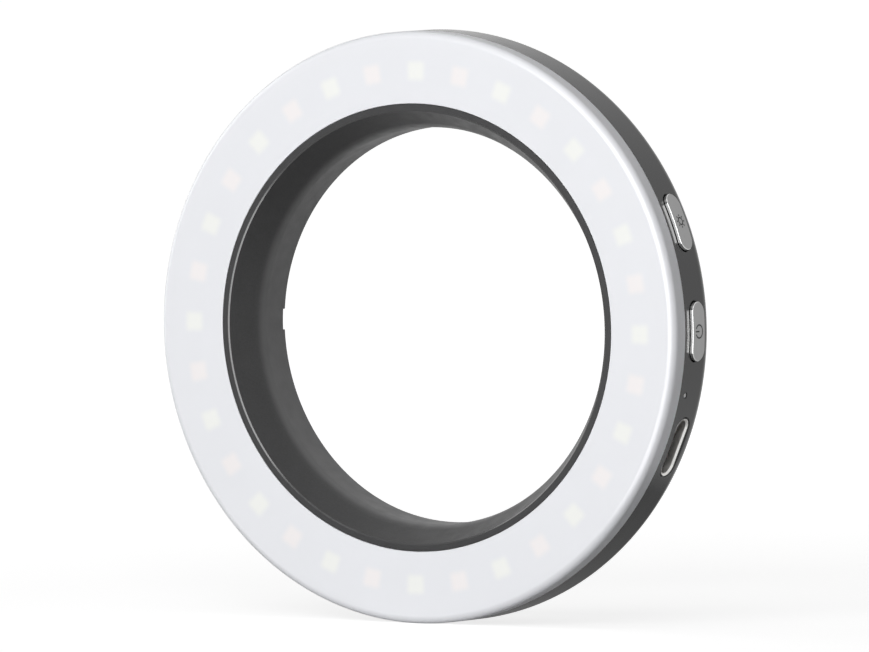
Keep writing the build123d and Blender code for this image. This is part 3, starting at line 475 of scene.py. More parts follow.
# %% [markdown]
# Each screw starts as an outline too: spun round its own axis it gets the flat head, the cone and the shank
# in one go. A six-sided bar cut out of the head makes the hexagon socket. The thread stays out of sight in
# its boss, so it is left plain.

# %% Rear screws
HEAD_RADIUS, HEAD_TOP, CONE_END, SCREW_TIP = 1.35, 11.55, 10.9, 7.1
HEX_RADIUS, HEX_FLOOR = 0.42, 11.05
screws_mesh = bmesh.new()
for angle in SCREW_ANGLES:
    screw = bmesh.new()
    outline = [(0.0, HEAD_TOP), (HEAD_RADIUS, HEAD_TOP), (SCREW_RADIUS, CONE_END),
               (SCREW_RADIUS, SCREW_TIP), (0.0, SCREW_TIP)]
    corners = [screw.verts.new((radius, at_depth(depth), 0)) for radius, depth in outline]
    for first, second in zip(corners, corners[1:]):
        screw.edges.new((first, second))
    spin_round(screw, BAR_SIDES)
    bmesh.ops.translate(screw, verts=screw.verts[:], vec=(SCREW_CIRCLE, 0, 0))
    socket_tool = round_bar(HEX_RADIUS, HEX_FLOOR, CUT_END, 0, sides=6)
    take_in(screws_mesh, turned(cut_away(screw, [socket_tool]), angle))
screws = make_piece("rear_cover_screws", screws_mesh, ["back_cover_screws"])

# %% [markdown]
# The two buttons are small metal stadiums that stand a hair out of the housing. Their faces follow the
# housing's curve, so the flat face is first cut into narrow strips and then bent round the ring. The
# chamfer round the face is an inset that drops as it goes in. A thin flange behind the slot keeps each
# button from falling out. The flanks are bright mirrors that must look flat, so edges are kept sharp in
# the shading from a smaller angle on than elsewhere.

# %% Button shape
BUTTON_TOP, BUTTON_CHAMFER, CHAMFER_EDGE = 43.044, 0.075, 0.015
BUTTON_FOOT = 40.75
FLANGE_LENGTH, FLANGE_WIDTH, FLANGE_WALL = 10.1, 4.46, 0.7
FLANGE_OUT, FLANGE_DEPTH = 40.09, 6.55
RIM_DEGREES, KEY_SHARP = 30, 18


def button_mesh(angle):
    """A push button at its ring angle: cap, chamfer and flange."""
    bm = bmesh.new()
    stadium(bm, FLANGE_LENGTH, FLANGE_WIDTH, FLANGE_OUT, FLANGE_DEPTH)
    extrude_faces(bm, bm.faces[:], (FLANGE_WALL, 0, 0))
    cap = bmesh.new()
    stadium(cap, BUTTON_LENGTH, BUTTON_WIDTH, BUTTON_TOP - BUTTON_CHAMFER, BUTTON_DEPTH)
    cut_into_strips(cap, (BUTTON_LENGTH - BUTTON_WIDTH) / 2)
    top = cap.faces[:]
    extrude_faces(cap, top, (BUTTON_FOOT - BUTTON_TOP + BUTTON_CHAMFER, 0, 0))
    face_outwards(cap)
    bmesh.ops.inset_region(cap, faces=top, thickness=BUTTON_CHAMFER, depth=BUTTON_CHAMFER,
                           use_even_offset=True, use_boundary=True)
    rims = [e for e in cap.edges if e.is_manifold and e.calc_face_angle() > math.radians(RIM_DEGREES)]
    round_off(cap, rims, CHAMFER_EDGE, 1)
    take_in(bm, cap)
    bend_round(bm)
    return turned(bm, angle)


power_key = make_piece("power_key", button_mesh(POWER_ANGLE), ["power_button"],
                       body="power_push", sharp_degrees=KEY_SHARP)
brightness_key = make_piece("brightness_key", button_mesh(BRIGHTNESS_ANGLE),
                            ["brightness_button"], body="brightness_push", sharp_degrees=KEY_SHARP)

# %% [markdown]
# Dark symbols are inked on the buttons. A texture could show them, but real strokes stay crisp at any
# distance. A ring is a small rectangle spun round the middle of the button, a bar is a thin block, and all
# of it is bent onto the button's curve, a few thousandths of a millimetre proud of it.

# %% Strokes of ink
STROKE = 0.21
INK_TOP, INK_DEPTH = 43.05, 0.05
ARC_STEPS = 48


def ink_arc(bm, radius, start, sweep):
    """A stroke that runs round the middle of the button; angles in degrees, 0 is towards the front."""
    middle = Vector((INK_TOP - INK_DEPTH, at_depth(BUTTON_DEPTH), 0))
    towards = Matrix.Rotation(math.radians(start), 3, "X") @ Vector((0, -1, 0))
    corners = [middle + towards * (radius + side * STROKE / 2) + Vector((rise, 0, 0))
               for side, rise in ((-1, 0), (1, 0), (1, INK_DEPTH), (-1, INK_DEPTH))]
    face = bm.faces.new([bm.verts.new(corner) for corner in corners])
    outline = list(face.edges) + list(face.verts)
    full = sweep >= 360
    if full:
        bmesh.ops.delete(bm, geom=[face], context="FACES_ONLY")
    bmesh.ops.spin(bm, geom=outline if full else [face] + outline, cent=middle, axis=(1, 0, 0),
                   dvec=(0, 0, 0), angle=math.radians(sweep), steps=ARC_STEPS, use_merge=full)


def ink_bar(bm, inner, outer, angle):
    """A straight stroke from one distance to another from the middle of the button."""
    middle = Vector((INK_TOP - INK_DEPTH / 2, at_depth(BUTTON_DEPTH), 0))
    bar = (Matrix.Translation(middle) @ Matrix.Rotation(math.radians(angle), 4, "X")
           @ Matrix.Translation((0, -(inner + outer) / 2, 0))
           @ Matrix.Diagonal((INK_DEPTH, outer - inner, STROKE, 1)))
    bmesh.ops.create_cube(bm, size=1, matrix=bar)


def symbol_piece(name, bm, angle, stands_for, body):
    """Bends the strokes onto the button and turns them to its ring angle."""
    bmesh.ops.remove_doubles(bm, verts=bm.verts[:], dist=MERGE)
    face_outwards(bm)
    bend_round(bm)
    return make_piece(name, turned(bm, angle), [stands_for], body=body)


# %% [markdown]
# The power symbol is a ring that opens towards the front, with a bar in the opening. The sun for the
# brightness is a small closed ring with eight rays.

# %% Symbols
POWER_RADIUS, POWER_OPENING, POWER_BAR = 0.94, 50, (-0.05, 1.0)
SUN_RADIUS, RAYS, RAY_BAR = 0.53, 8, (0.74, 1.02)
standby = bmesh.new()
ink_arc(standby, POWER_RADIUS, POWER_OPENING / 2, 360 - POWER_OPENING)
ink_bar(standby, *POWER_BAR, 0)
standby_ink = symbol_piece("standby_ink", standby, POWER_ANGLE, "power_symbol", "power_push")
sun = bmesh.new()
ink_arc(sun, SUN_RADIUS, 0, 360)
for ray in range(RAYS):
    ink_bar(sun, *RAY_BAR, 360 / RAYS * ray)
sun_ink = symbol_piece("sun_ink", sun, BRIGHTNESS_ANGLE, "brightness_symbol", "brightness_push")

# %% [markdown]
# The charging port's shell is a stadium tube of bent steel. A stadium face is inset to give the wall, the
# middle is taken out, and the rim is pulled back into a tube. The mouth opens in a wide chamfer towards the
# inside, which is what catches the light on the real part. The mouth's edges are sorted into inner and
# outer ones by their distance from the port's straight middle line.

# %% Port shell
USB_MOUTH, USB_BACK, USB_WALL = 42.27, 34.9, 0.3
LEAD_IN, OUTER_ROUND = 0.27, 0.04
MOUTH_BAND, MOUTH_DEGREES, SLIVER = 0.01, 60, 2e-3
shell = bmesh.new()
stadium(shell, USB_LENGTH, USB_WIDTH, USB_MOUTH, USB_DEPTH)
bmesh.ops.inset_region(shell, faces=shell.faces[:], thickness=USB_WALL, use_even_offset=True,
                       use_boundary=True)
middle = max(shell.faces, key=lambda f: len(f.verts))
bmesh.ops.delete(shell, geom=[middle], context="FACES_ONLY")
extrude_faces(shell, shell.faces[:], (USB_BACK - USB_MOUTH, 0, 0))
face_outwards(shell)
mouth = [e for e in shell.edges if min(v.co.x for v in e.verts) > USB_MOUTH - MOUTH_BAND
         and e.is_manifold and e.calc_face_angle() > math.radians(MOUTH_DEGREES)]


def from_middle(edge):
    """How far an edge of the mouth lies from the straight middle line of the port."""
    spot = (edge.verts[0].co + edge.verts[1].co) / 2
    return math.hypot(max(abs(spot.z) - (USB_LENGTH - USB_WIDTH) / 2, 0), spot.y - at_depth(USB_DEPTH))


wall_middle = (USB_WIDTH - USB_WALL) / 2
inner_mouth = [e for e in mouth if from_middle(e) < wall_middle]
outer_mouth = [e for e in mouth if from_middle(e) >= wall_middle]
print("mouth edges, inner and outer:", len(inner_mouth), len(outer_mouth))
round_off(shell, outer_mouth, OUTER_ROUND, 2)
round_off(shell, [e for e in inner_mouth if e.is_valid], LEAD_IN, 1)
bmesh.ops.dissolve_degenerate(shell, edges=shell.edges[:], dist=SLIVER)
port_shell = make_piece("usb_port_shell", turned(shell, USB_ANGLE), ["usb_shell"])

# %% [markdown]
# The indicator beside the port is the end of a clear light pipe. Inside, a square foot sits over a tiny
# LED on the board; from it a round bar runs out to the housing, where its end is a low dome. The dome is
# a sphere pressed flat, so that it catches a small light from the front.

# %% Indicator lens
PIPE_RADIUS, PIPE_START, PIPE_END, DOME_RISE = 0.43, 39.0, 42.27, 0.22
FOOT_OUT, FOOT_WIDTH, FOOT_FRONT, FOOT_REAR, FOOT_ROUND = 38.4, 1.4, 4.2, 7.44, 0.06
pipe = block(FOOT_OUT, (FOOT_FRONT + FOOT_REAR) / 2, (FOOT_WIDTH, FOOT_REAR - FOOT_FRONT, FOOT_WIDTH))
round_off(pipe, pipe.edges[:], FOOT_ROUND, 2)
along_x = Matrix.Rotation(math.pi / 2, 4, "Y")
bmesh.ops.create_cone(pipe, cap_ends=True, cap_tris=False, segments=BAR_SIDES, radius1=PIPE_RADIUS,
                      radius2=PIPE_RADIUS, depth=PIPE_END - PIPE_START,
                      matrix=moved((PIPE_END + PIPE_START) / 2, LIGHT_DEPTH) @ along_x)
flat = Matrix.Diagonal((DOME_RISE / PIPE_RADIUS, 1, 1, 1))
bmesh.ops.create_uvsphere(pipe, u_segments=BAR_SIDES, v_segments=BAR_SIDES // 2, radius=PIPE_RADIUS,
                          matrix=moved(PIPE_END, LIGHT_DEPTH) @ flat @ along_x)
face_outwards(pipe)
indicator = make_piece("indicator_lens", turned(pipe, LIGHT_ANGLE),
                       ["indicator_light_pipe"])

# %% [markdown]
# Materials, the floor and the surround are trees of nodes. They could be drawn by hand in the Shader
# Editor; in a script a few short helpers keep them readable: one adds a node, one links it or sets a
# number, one does arithmetic, and one makes a soft step.

# %% Helpers for nodes
class Wiring:
    """A node tree, emptied, with short ways to add nodes to it."""

    def __init__(self, owner):
        owner.use_nodes = True
        self.tree = owner.node_tree
        self.tree.nodes.clear()

    def add(self, kind, **settings):
        """A new node; settings are its properties."""
        node = self.tree.nodes.new(kind)
        for key, value in settings.items():
            setattr(node, key, value)
        return node

    def link(self, source, target):
        self.tree.links.new(source, target)

    def put(self, socket, value):
        """Links a socket to another node's output, or sets its number or colour."""
        if isinstance(value, bpy.types.NodeSocket):
            self.link(value, socket)
        else:
            socket.default_value = value

    def calc(self, operation, first, second=0.0):
        """One step of arithmetic."""
        node = self.add("ShaderNodeMath", operation=operation)
        self.put(node.inputs[0], first)
        self.put(node.inputs[1], second)
        return node.outputs[0]

    def fade(self, value, low, high, to_low=0.0, to_high=1.0, course="SMOOTHSTEP"):
        """A soft step: to_low below low and to_high above high."""
        node = self.add("ShaderNodeMapRange", interpolation_type=course)
        for socket, number in zip(node.inputs[:5], (value, low, high, to_low, to_high)):
            self.put(socket, number)
        return node.outputs[0]


# %% [markdown]
# Every finish uses Object coordinates, so a pattern has the same size on every part, doesn't slide when a
# part moves, and needs no unwrapping. A recipe holds one Principled shader. It can add noise with grains
# of a size in millimetres, mix colours, make fine relief, and tell where a point lies on the ring.

# %% Helpers for finishes
class Recipe(Wiring):
    """The nodes of one material, with its shader and the place of the point that is shaded."""

    def __init__(self, name):
        self.material = bpy.data.materials.new(name)
        super().__init__(self.material)
        self.shader = self.add("ShaderNodeBsdfPrincipled")
        output = self.add("ShaderNodeOutputMaterial")
        self.link(self.shader.outputs["BSDF"], output.inputs["Surface"])
        self.place = self.add("ShaderNodeTexCoord").outputs["Object"]

    def feed(self, name, value):
        """Links or sets an input of the shader."""
        self.put(self.shader.inputs[name], value)

    def axes(self):
        """The X, Y and Z of the point that is shaded, in metres."""
        split = self.add("ShaderNodeSeparateXYZ")
        self.link(self.place, split.inputs[0])
        return split.outputs

    def from_axis(self, axes):
        """How far the point that is shaded lies from the ring's axis, in metres."""
        squares = [self.calc("POWER", axes[name], 2.0) for name in ("X", "Z")]
        return self.calc("SQRT", self.calc("ADD", *squares))

    def noise(self, grain_mm, detail=2.0, rough=0.5):
        """Noise from 0 to 1 with grains of about that many millimetres."""
        node = self.add("ShaderNodeTexNoise")
        self.link(self.place, node.inputs["Vector"])
        node.inputs["Scale"].default_value = 1.0 / (grain_mm * MM)
        node.inputs["Detail"].default_value = detail
        node.inputs["Roughness"].default_value = rough
        return node.outputs["Fac"]

    def blend(self, amount, first, second, kind="MIX"):
        """Mixes two colours by an amount from 0 to 1."""
        node = self.add("ShaderNodeMix", data_type="RGBA", blend_type=kind)
        for socket, value in (("Factor", amount), ("A", first), ("B", second)):
            self.put(node.inputs[socket], value)
        return node.outputs["Result"]

    def bump(self, height, depth_mm):
        """Turns a height from 0 to 1 into fine relief of that many millimetres."""
        node = self.add("ShaderNodeBump")
        node.inputs["Distance"].default_value = depth_mm * MM
        self.link(height, node.inputs["Height"])
        self.feed("Normal", node.outputs["Normal"])


# %% [markdown]
# Colours are amounts of light, so 0.5 looks much paler here than in a colour picker. The shader's sockets
# also take a fourth number, the opacity.

# %% Colours
def rgba(red, green, blue):
    return (red, green, blue, 1.0)


def shaded(colour, factor):
    return rgba(*(min(1.0, channel * factor) for channel in colour))


# %% [markdown]
# Most parts share one idea: a base colour that drifts a little over some millimetres, a finer speckle on
# top, a gloss that isn't the same everywhere, and a low relief from the mould or the blasting. One function
# makes such a finish from sizes and amounts, and special parts build on what it returns.

# %% A finish with drift, speckle and grain
GLOSS_NOISE = (0.25, 0.75)


def finish(name, colour, roughness, metallic=0.0, drift_mm=6.0, drift=0.06, grain_mm=0.2, speckle=0.06,
           relief_mm=0.004, rough_spread=0.06, specular=0.5):
    """A procedural finish; drift and speckle are shares of the colour."""
    recipe = Recipe(name)
    white = (1, 1, 1)
    slow = recipe.noise(drift_mm, detail=3.0)
    fine = recipe.noise(grain_mm, rough=0.6)
    tinted = recipe.blend(slow, shaded(colour, 1 - drift), shaded(colour, 1 + drift))
    speckled = recipe.blend(fine, shaded(white, 1 - speckle), rgba(*white))
    surface = recipe.blend(1.0, tinted, speckled, "MULTIPLY")
    gloss = recipe.fade(recipe.noise(drift_mm / 3, detail=4.0), *GLOSS_NOISE,
                        roughness - rough_spread, roughness + rough_spread)
    for socket, value in (("Base Color", surface), ("Roughness", gloss), ("Metallic", metallic),
                          ("Specular IOR Level", specular)):
        recipe.feed(socket, value)
    if relief_mm:
        recipe.bump(fine, relief_mm)
    recipe.surface, recipe.gloss, recipe.fine, recipe.slow = surface, gloss, fine, slow
    return recipe


def dress(piece, recipe):
    """Gives a piece one material."""
    piece.data.materials.clear()
    piece.data.materials.append(recipe.material)
    print(piece.name, "gets", recipe.material.name)


# %% [markdown]
# The opal front looks like frosted white glass with a cool cast. With the light off, the LEDs behind it
# show only as soft pale squares: 32 of them, cool white and warm white in turn. They are painted where
# the LEDs really are. The ring angle of a point says which LED is nearest, the distance from the LED
# circle and along it gives a soft square, and every second one gets the warmer tint.

# %% Opal diffuser finish
LED_COUNT, LED_CIRCLE, LED_HALF, LED_SOFTNESS = 32, 36.85, 1.28, 0.62
LED_STEP = 2 * math.pi / LED_COUNT
opal = finish("opal_diffuser_finish", (0.842, 0.852, 0.884), 0.32, drift_mm=14.0, drift=0.004,
              grain_mm=0.25, speckle=0.006, relief_mm=0.0006, rough_spread=0.03, specular=1.0)
axes = opal.axes()
turns = opal.calc("DIVIDE", opal.calc("ARCTAN2", axes["Z"], axes["X"]), LED_STEP)
nearest = opal.calc("ROUND", turns)
along = opal.calc("MULTIPLY", opal.calc("ABSOLUTE", opal.calc("SUBTRACT", turns, nearest)),
                  LED_STEP * LED_CIRCLE * MM)
across = opal.calc("ABSOLUTE", opal.calc("SUBTRACT", opal.from_axis(axes), LED_CIRCLE * MM))
soft_edge = ((LED_HALF - LED_SOFTNESS) * MM, (LED_HALF + LED_SOFTNESS) * MM, 1.0, 0.0)
glow = opal.calc("MULTIPLY", opal.fade(along, *soft_edge), opal.fade(across, *soft_edge))
warm_turn = opal.calc("ABSOLUTE", opal.calc("MODULO", nearest, 2.0))
window = opal.blend(warm_turn, rgba(0.915, 0.925, 0.9), rgba(0.92, 0.89, 0.892))
opal.feed("Base Color", opal.blend(glow, opal.surface, window))
dress(diffuser, opal)

# %% [markdown]
# The sleeve is black plastic with three looks in one moulding: a satin bezel, a funnel with the dull fine
# grain that spark erosion leaves in the mould, and a paler, duller bore. The depth behind the front face
# says where a point lies, and soft steps between the zones change the colour and the gloss. Three
# materials on three sets of faces would show hard lines between them.

# %% Sleeve finish
BORE_ZONE, BEZEL_ZONE, BORE_DULLER = (4.1, 5.7), (0.03, 0.2), 0.05
plastic = finish("sleeve_plastic_finish", (0.054, 0.054, 0.055), 0.42, drift_mm=5.0, drift=0.1,
                 grain_mm=0.24, speckle=0.5, relief_mm=0.014, rough_spread=0.05)
depth_axis = plastic.axes()["Y"]
in_bore = plastic.fade(depth_axis, *[at_depth(depth) * MM for depth in BORE_ZONE])
on_bezel = plastic.fade(depth_axis, *[at_depth(depth) * MM for depth in BEZEL_ZONE], 1.0, 0.0)
bore_black = plastic.blend(plastic.slow, rgba(0.118, 0.118, 0.119), rgba(0.13, 0.13, 0.131))
bezel_black = plastic.blend(plastic.slow, rgba(0.014, 0.014, 0.015), rgba(0.018, 0.018, 0.019))
behind_bezel = plastic.blend(in_bore, plastic.surface, bore_black)
plastic.feed("Base Color", plastic.blend(on_bezel, behind_bezel, bezel_black))
duller = plastic.calc("MULTIPLY", in_bore, BORE_DULLER)
plastic.feed("Roughness", plastic.calc("ADD", plastic.gloss, duller))
dress(sleeve, plastic)

# %% [markdown]
# The fine chamfer round the mouth is the brightest line on the sleeve, so it gets a second, glossier
# material. Its faces are found by their place near the mouth and by the way they look, which is forwards
# and a little towards the axis. Naming faces by number would break as soon as a size changes.

# %% Mouth chamfer finish
CHAMFER_REACH, CHAMFER_LOOK = 0.4, (-0.95, -0.6)
polished = finish("sleeve_chamfer_finish", (0.03, 0.03, 0.031), 0.2, drift_mm=5.0, drift=0.1,
                  grain_mm=0.3, speckle=0.1, relief_mm=0.0005, rough_spread=0.03, specular=0.8)
sleeve.data.materials.append(polished.material)
chamfer_faces = 0
for face in sleeve.data.polygons:
    middle = face.center / MM
    in_reach = math.hypot(middle.x, middle.z) < MOUTH + CHAMFER_REACH and middle.y < at_depth(CHAMFER_REACH)
    if in_reach and CHAMFER_LOOK[0] < face.normal.y < CHAMFER_LOOK[1]:
        face.material_index = 1
        chamfer_faces += 1
print("chamfer faces:", chamfer_faces)

# %% [markdown]
# The housing is black plastic too, a little glossier and smoother, so that it mirrors softly what stands
# close to it, such as the bright flank of each button. The cover at the back has a duller finish with a
# coarser grain, which hides fingerprints. Both only need other numbers in the same function.

# %% Housing and cover finishes
housing_finish = finish("housing_plastic_finish", (0.016, 0.016, 0.017), 0.17, drift_mm=7.0, drift=0.1,
                        grain_mm=0.12, speckle=0.15, relief_mm=0.0012, rough_spread=0.03)
dress(housing, housing_finish)
cover_finish = finish("cover_plastic_finish", (0.03, 0.03, 0.031), 0.42, drift_mm=8.0, drift=0.1,
                      grain_mm=0.2, speckle=0.25, relief_mm=0.01, rough_spread=0.05, specular=0.6)
dress(cover, cover_finish)

# %% [markdown]
# Each button is aluminium: its face is bead blasted to a soft grey, and the flanks and the chamfer are
# left bright from the cutter. The distance from the ring's axis tells face from flank, so one material
# serves both.

# %% Button finish
FACE_FROM, FACE_TO = (BUTTON_TOP - 0.03) * MM, (BUTTON_TOP - 0.005) * MM
FLANK_ROUGHNESS, FACE_ROUGHNESS = 0.1, 0.5
BLAST_MM, BLAST_RELIEF = 0.09, 0.0015
metal = finish("button_metal_finish", (0.9, 0.9, 0.9), FLANK_ROUGHNESS, metallic=1.0, drift_mm=2.0,
               drift=0.03, grain_mm=BLAST_MM, speckle=0.03, relief_mm=0)
reach = metal.from_axis(metal.axes())
on_face = metal.fade(reach, FACE_FROM, FACE_TO)
blast = metal.noise(BLAST_MM, detail=3.0, rough=0.7)
blasted = metal.blend(blast, rgba(0.32, 0.32, 0.32), rgba(0.42, 0.42, 0.42))
metal.feed("Base Color", metal.blend(on_face, metal.surface, blasted))
metal.feed("Roughness", metal.fade(reach, FACE_FROM, FACE_TO, FLANK_ROUGHNESS, FACE_ROUGHNESS))
metal.bump(metal.calc("MULTIPLY", blast, on_face), BLAST_RELIEF)
for key in (power_key, brightness_key):
    dress(key, metal)

# %% [markdown]
# The symbols are dark ink, nearly without gloss. The grain is finer than on any plastic, because ink takes
# over the roughness of the blasted metal under it.

# %% Symbol finish
ink_finish = finish("symbol_ink_finish", (0.012, 0.012, 0.013), 0.5, grain_mm=0.06, speckle=0.3,
                    relief_mm=0.0008, specular=0.3)
for symbol in (standby_ink, sun_ink):
    dress(symbol, ink_finish)

# %% [markdown]
# The port's shell is nickel plated steel, dulled by a very fine grain, and the rear screws are blackened
# steel. Both are metals, so nearly all of their look comes from what they reflect, and the roughness
# matters more than the colour.

# %% Steel finishes
steel_finish = finish("plated_steel_finish", (0.88, 0.87, 0.85), 0.42, metallic=1.0, drift_mm=1.5,
                      drift=0.05, grain_mm=0.08, speckle=0.08, relief_mm=0.0008, rough_spread=0.05)
dress(port_shell, steel_finish)
screw_finish = finish("black_screw_finish", (0.11, 0.11, 0.114), 0.3, metallic=1.0, drift_mm=1.0,
                      drift=0.1, grain_mm=0.08, speckle=0.2, relief_mm=0.001)
dress(screws, screw_finish)

# %% [markdown]
# The light pipe is clear acrylic that scatters a little, so it reads as a pale bead beside the port. Real
# transmission would need many more samples and would show the dark hole behind it; a pale, glossy surface
# gives the bead directly.

# %% Light pipe finish
pipe_finish = finish("light_pipe_finish", (0.96, 0.96, 0.95), 0.2, drift_mm=0.6, drift=0.03,
                     grain_mm=0.1, speckle=0.03, relief_mm=0.0005, specular=1.0)
dress(indicator, pipe_finish)

# %% [markdown]
# The parts inside keep their CAD shapes and get finishes by material slot. They are hidden when the light
# is closed, but each one still has its own grain, gloss and drift of colour. First come the metals: screws,
# gold contacts and pins, the cells' nickel tabs and their foil, which is a little wavy.

# %% Metals inside
inner = {}


def inner_finish(slot, colour, roughness, grain_mm=0.1, relief_mm=0.001, **look):
    """The finish of every inner part with that material slot."""
    look.update(grain_mm=grain_mm, relief_mm=relief_mm)
    inner[slot] = finish(slot + "_finish", colour, roughness, **look)
    print("finish for", slot)


inner_finish("zinc_screw", (0.6, 0.6, 0.58), 0.3, grain_mm=0.08, metallic=1.0, drift_mm=0.8, speckle=0.15)
inner_finish("contact_gold", (0.85, 0.6, 0.25), 0.25, grain_mm=0.05, relief_mm=0.0004, metallic=1.0,
             drift_mm=0.7, speckle=0.12)
inner_finish("nickel_tab", (0.62, 0.6, 0.56), 0.28, grain_mm=0.07, metallic=1.0, drift_mm=1.0, speckle=0.12)
inner_finish("pouch_foil", (0.66, 0.67, 0.68), 0.32, grain_mm=0.9, relief_mm=0.03, metallic=1.0,
             drift_mm=3.0, drift=0.08, speckle=0.06)

# %% [markdown]
# The insulators, the switches with their plungers, the sockets and the sheaths of the wires are plastics.
# The dark ones need more speckle, because little of it can be seen on black. The foam pads are fully dull
# and have open pores.

# %% Plastics and foam inside
inner_finish("insulator_plastic", (0.009, 0.006, 0.005), 0.5, relief_mm=0.0015, drift_mm=1.5, speckle=0.2,
             specular=0.15)
inner_finish("switch_black", (0.02, 0.02, 0.021), 0.4, relief_mm=0.002, drift_mm=1.5, speckle=0.2)
inner_finish("plunger_white", (0.78, 0.77, 0.72), 0.38, drift_mm=1.5, speckle=0.05)
inner_finish("red_wire", (0.5, 0.02, 0.015), 0.4, drift_mm=1.5, speckle=0.1)
inner_finish("black_wire", (0.02, 0.02, 0.02), 0.4, drift_mm=1.5, speckle=0.2)
inner_finish("black_foam", (0.02, 0.02, 0.02), 0.9, grain_mm=0.25, relief_mm=0.08, drift_mm=2.0,
             speckle=0.5, specular=0.2)

# %% [markdown]
# An LED is a white housing round a window of phosphor, which is yellow for cool white light and more
# orange for warm white. Chips and resistors are dull black, the inductor is dark ferrite with an open
# grain, and the capacitors are a tan ceramic.

# %% LEDs and small parts
inner_finish("led_package", (0.82, 0.82, 0.78), 0.4, grain_mm=0.08, drift_mm=1.0, speckle=0.06)
inner_finish("cool_phosphor", (0.9, 0.82, 0.3), 0.35, grain_mm=0.07, drift_mm=0.8, speckle=0.12)
inner_finish("warm_phosphor", (0.9, 0.55, 0.16), 0.35, grain_mm=0.07, drift_mm=0.8, speckle=0.12)
inner_finish("chip_black", (0.025, 0.025, 0.026), 0.55, grain_mm=0.07, relief_mm=0.003, drift_mm=1.2,
             speckle=0.3)
inner_finish("ferrite", (0.05, 0.048, 0.046), 0.7, relief_mm=0.006, drift_mm=1.0, speckle=0.4)
inner_finish("ceramic_tan", (0.42, 0.3, 0.18), 0.45, grain_mm=0.06, drift_mm=0.5, speckle=0.15)

# %% [markdown]
# The LED board is lacquered white, so that it throws light forwards instead of swallowing it. The control
# board and the cells' protection boards are green.

# %% Boards
inner_finish("led_board_white", (0.8, 0.8, 0.77), 0.35, drift_mm=3.0, speckle=0.04)
inner_finish("circuit_board", (0.01, 0.08, 0.03), 0.35, grain_mm=0.12, relief_mm=0.002, drift_mm=3.0,
             speckle=0.2)

# %% [markdown]
# A circuit board isn't one green: copper tracks under the lacquer show as paler lines. A brick pattern in
# the plane of the board draws them, each brick's joint being a track, and a slow noise bends the lines so
# that they don't look like masonry. Where there is a track the lacquer stands up a little.

# %% Tracks on the circuit boards
WANDER_GRAIN, WANDER = 4.0, 0.9
GRAIN_SHARE, TRACK_RELIEF = 0.1, 0.02
TRACK_PATTERN = {"Scale": 1.0, "Mortar Size": 0.09, "Mortar Smooth": 0.2, "Brick Width": 2.7,
                 "Row Height": 0.85}
board = inner["circuit_board"]
axes = board.axes()
wander = board.calc("MULTIPLY", board.noise(WANDER_GRAIN), WANDER)
plane = board.add("ShaderNodeCombineXYZ")
board.link(board.calc("ADD", board.calc("DIVIDE", axes["X"], MM), wander), plane.inputs["X"])
board.link(board.calc("SUBTRACT", board.calc("DIVIDE", axes["Z"], MM), wander), plane.inputs["Y"])
tracks = board.add("ShaderNodeTexBrick", offset=0.37)
board.link(plane.outputs[0], tracks.inputs["Vector"])
for socket, value in TRACK_PATTERN.items():
    tracks.inputs[socket].default_value = value
board.feed("Base Color", board.blend(tracks.outputs["Fac"], board.surface, rgba(0.03, 0.19, 0.08)))
grain = board.calc("MULTIPLY", board.fine, GRAIN_SHARE)
board.bump(board.calc("ADD", grain, tracks.outputs["Fac"]), TRACK_RELIEF)
print("tracks drawn on", board.material.name)

# %% [markdown]
# Each carried-over CAD node now swaps its plain material for the finish of its slot. The record says which
# slot a node has, so no list of names is needed here.

# %% Give each carried-over CAD node its finish
node_slot = {part["node"]: part["material_slot"] for part in frame["record"]["subparts"]}
carried = [name for name in nodes if not nodes[name].hide_render]
for name in carried:
    materials = nodes[name].data.materials
    for index in range(len(materials)):
        materials[index] = inner[node_slot[name]].material
print("carried over from CAD:", len(carried))

# %% [markdown]
# The stage is a plain pale floor, seen almost edge on, with a white surround. The camera, mirrors and
# glass see the surround as white, while the light that it gives to matt surfaces is kept low, so that the
# softboxes shape the object. The Light Path node tells these kinds of ray apart.

# %% Surround
AMBIENT = 0.03


def seen_level(wiring, plain, in_gloss, otherwise=0.0):
    """plain for camera and transmission rays, in_gloss for glossy rays, and otherwise for the rest."""
    ray = wiring.add("ShaderNodeLightPath")
    level = otherwise
    for kind, seen in (("Camera", plain), ("Transmission", plain), ("Glossy", in_gloss)):
        step = wiring.add("ShaderNodeMix")
        for socket, value in (("Factor", ray.outputs[f"Is {kind} Ray"]), ("A", level), ("B", seen)):
            wiring.put(step.inputs[socket], value)
        level = step.outputs["Result"]
    return level


world = bpy.data.worlds.new("studio")
bpy.context.scene.world = world
surround = Wiring(world)
background = surround.add("ShaderNodeBackground")
surround.link(background.outputs[0], surround.add("ShaderNodeOutputWorld").inputs[0])
surround.link(seen_level(surround, 1.0, 1.0, AMBIENT), background.inputs["Strength"])
print("light of the surround on matt surfaces:", AMBIENT)

# %% [markdown]
# The floor is a single large face at the foot of the ring. Its matt shader takes the object's shadow, and
# an added glow lifts its own colour to white, for the same kinds of ray as in the surround. The glow is a
# little lower near the object, so that the shadow stays visible, and lower still in reflections. Without
# the glow, a white floor would need so much light that the object would bleach.

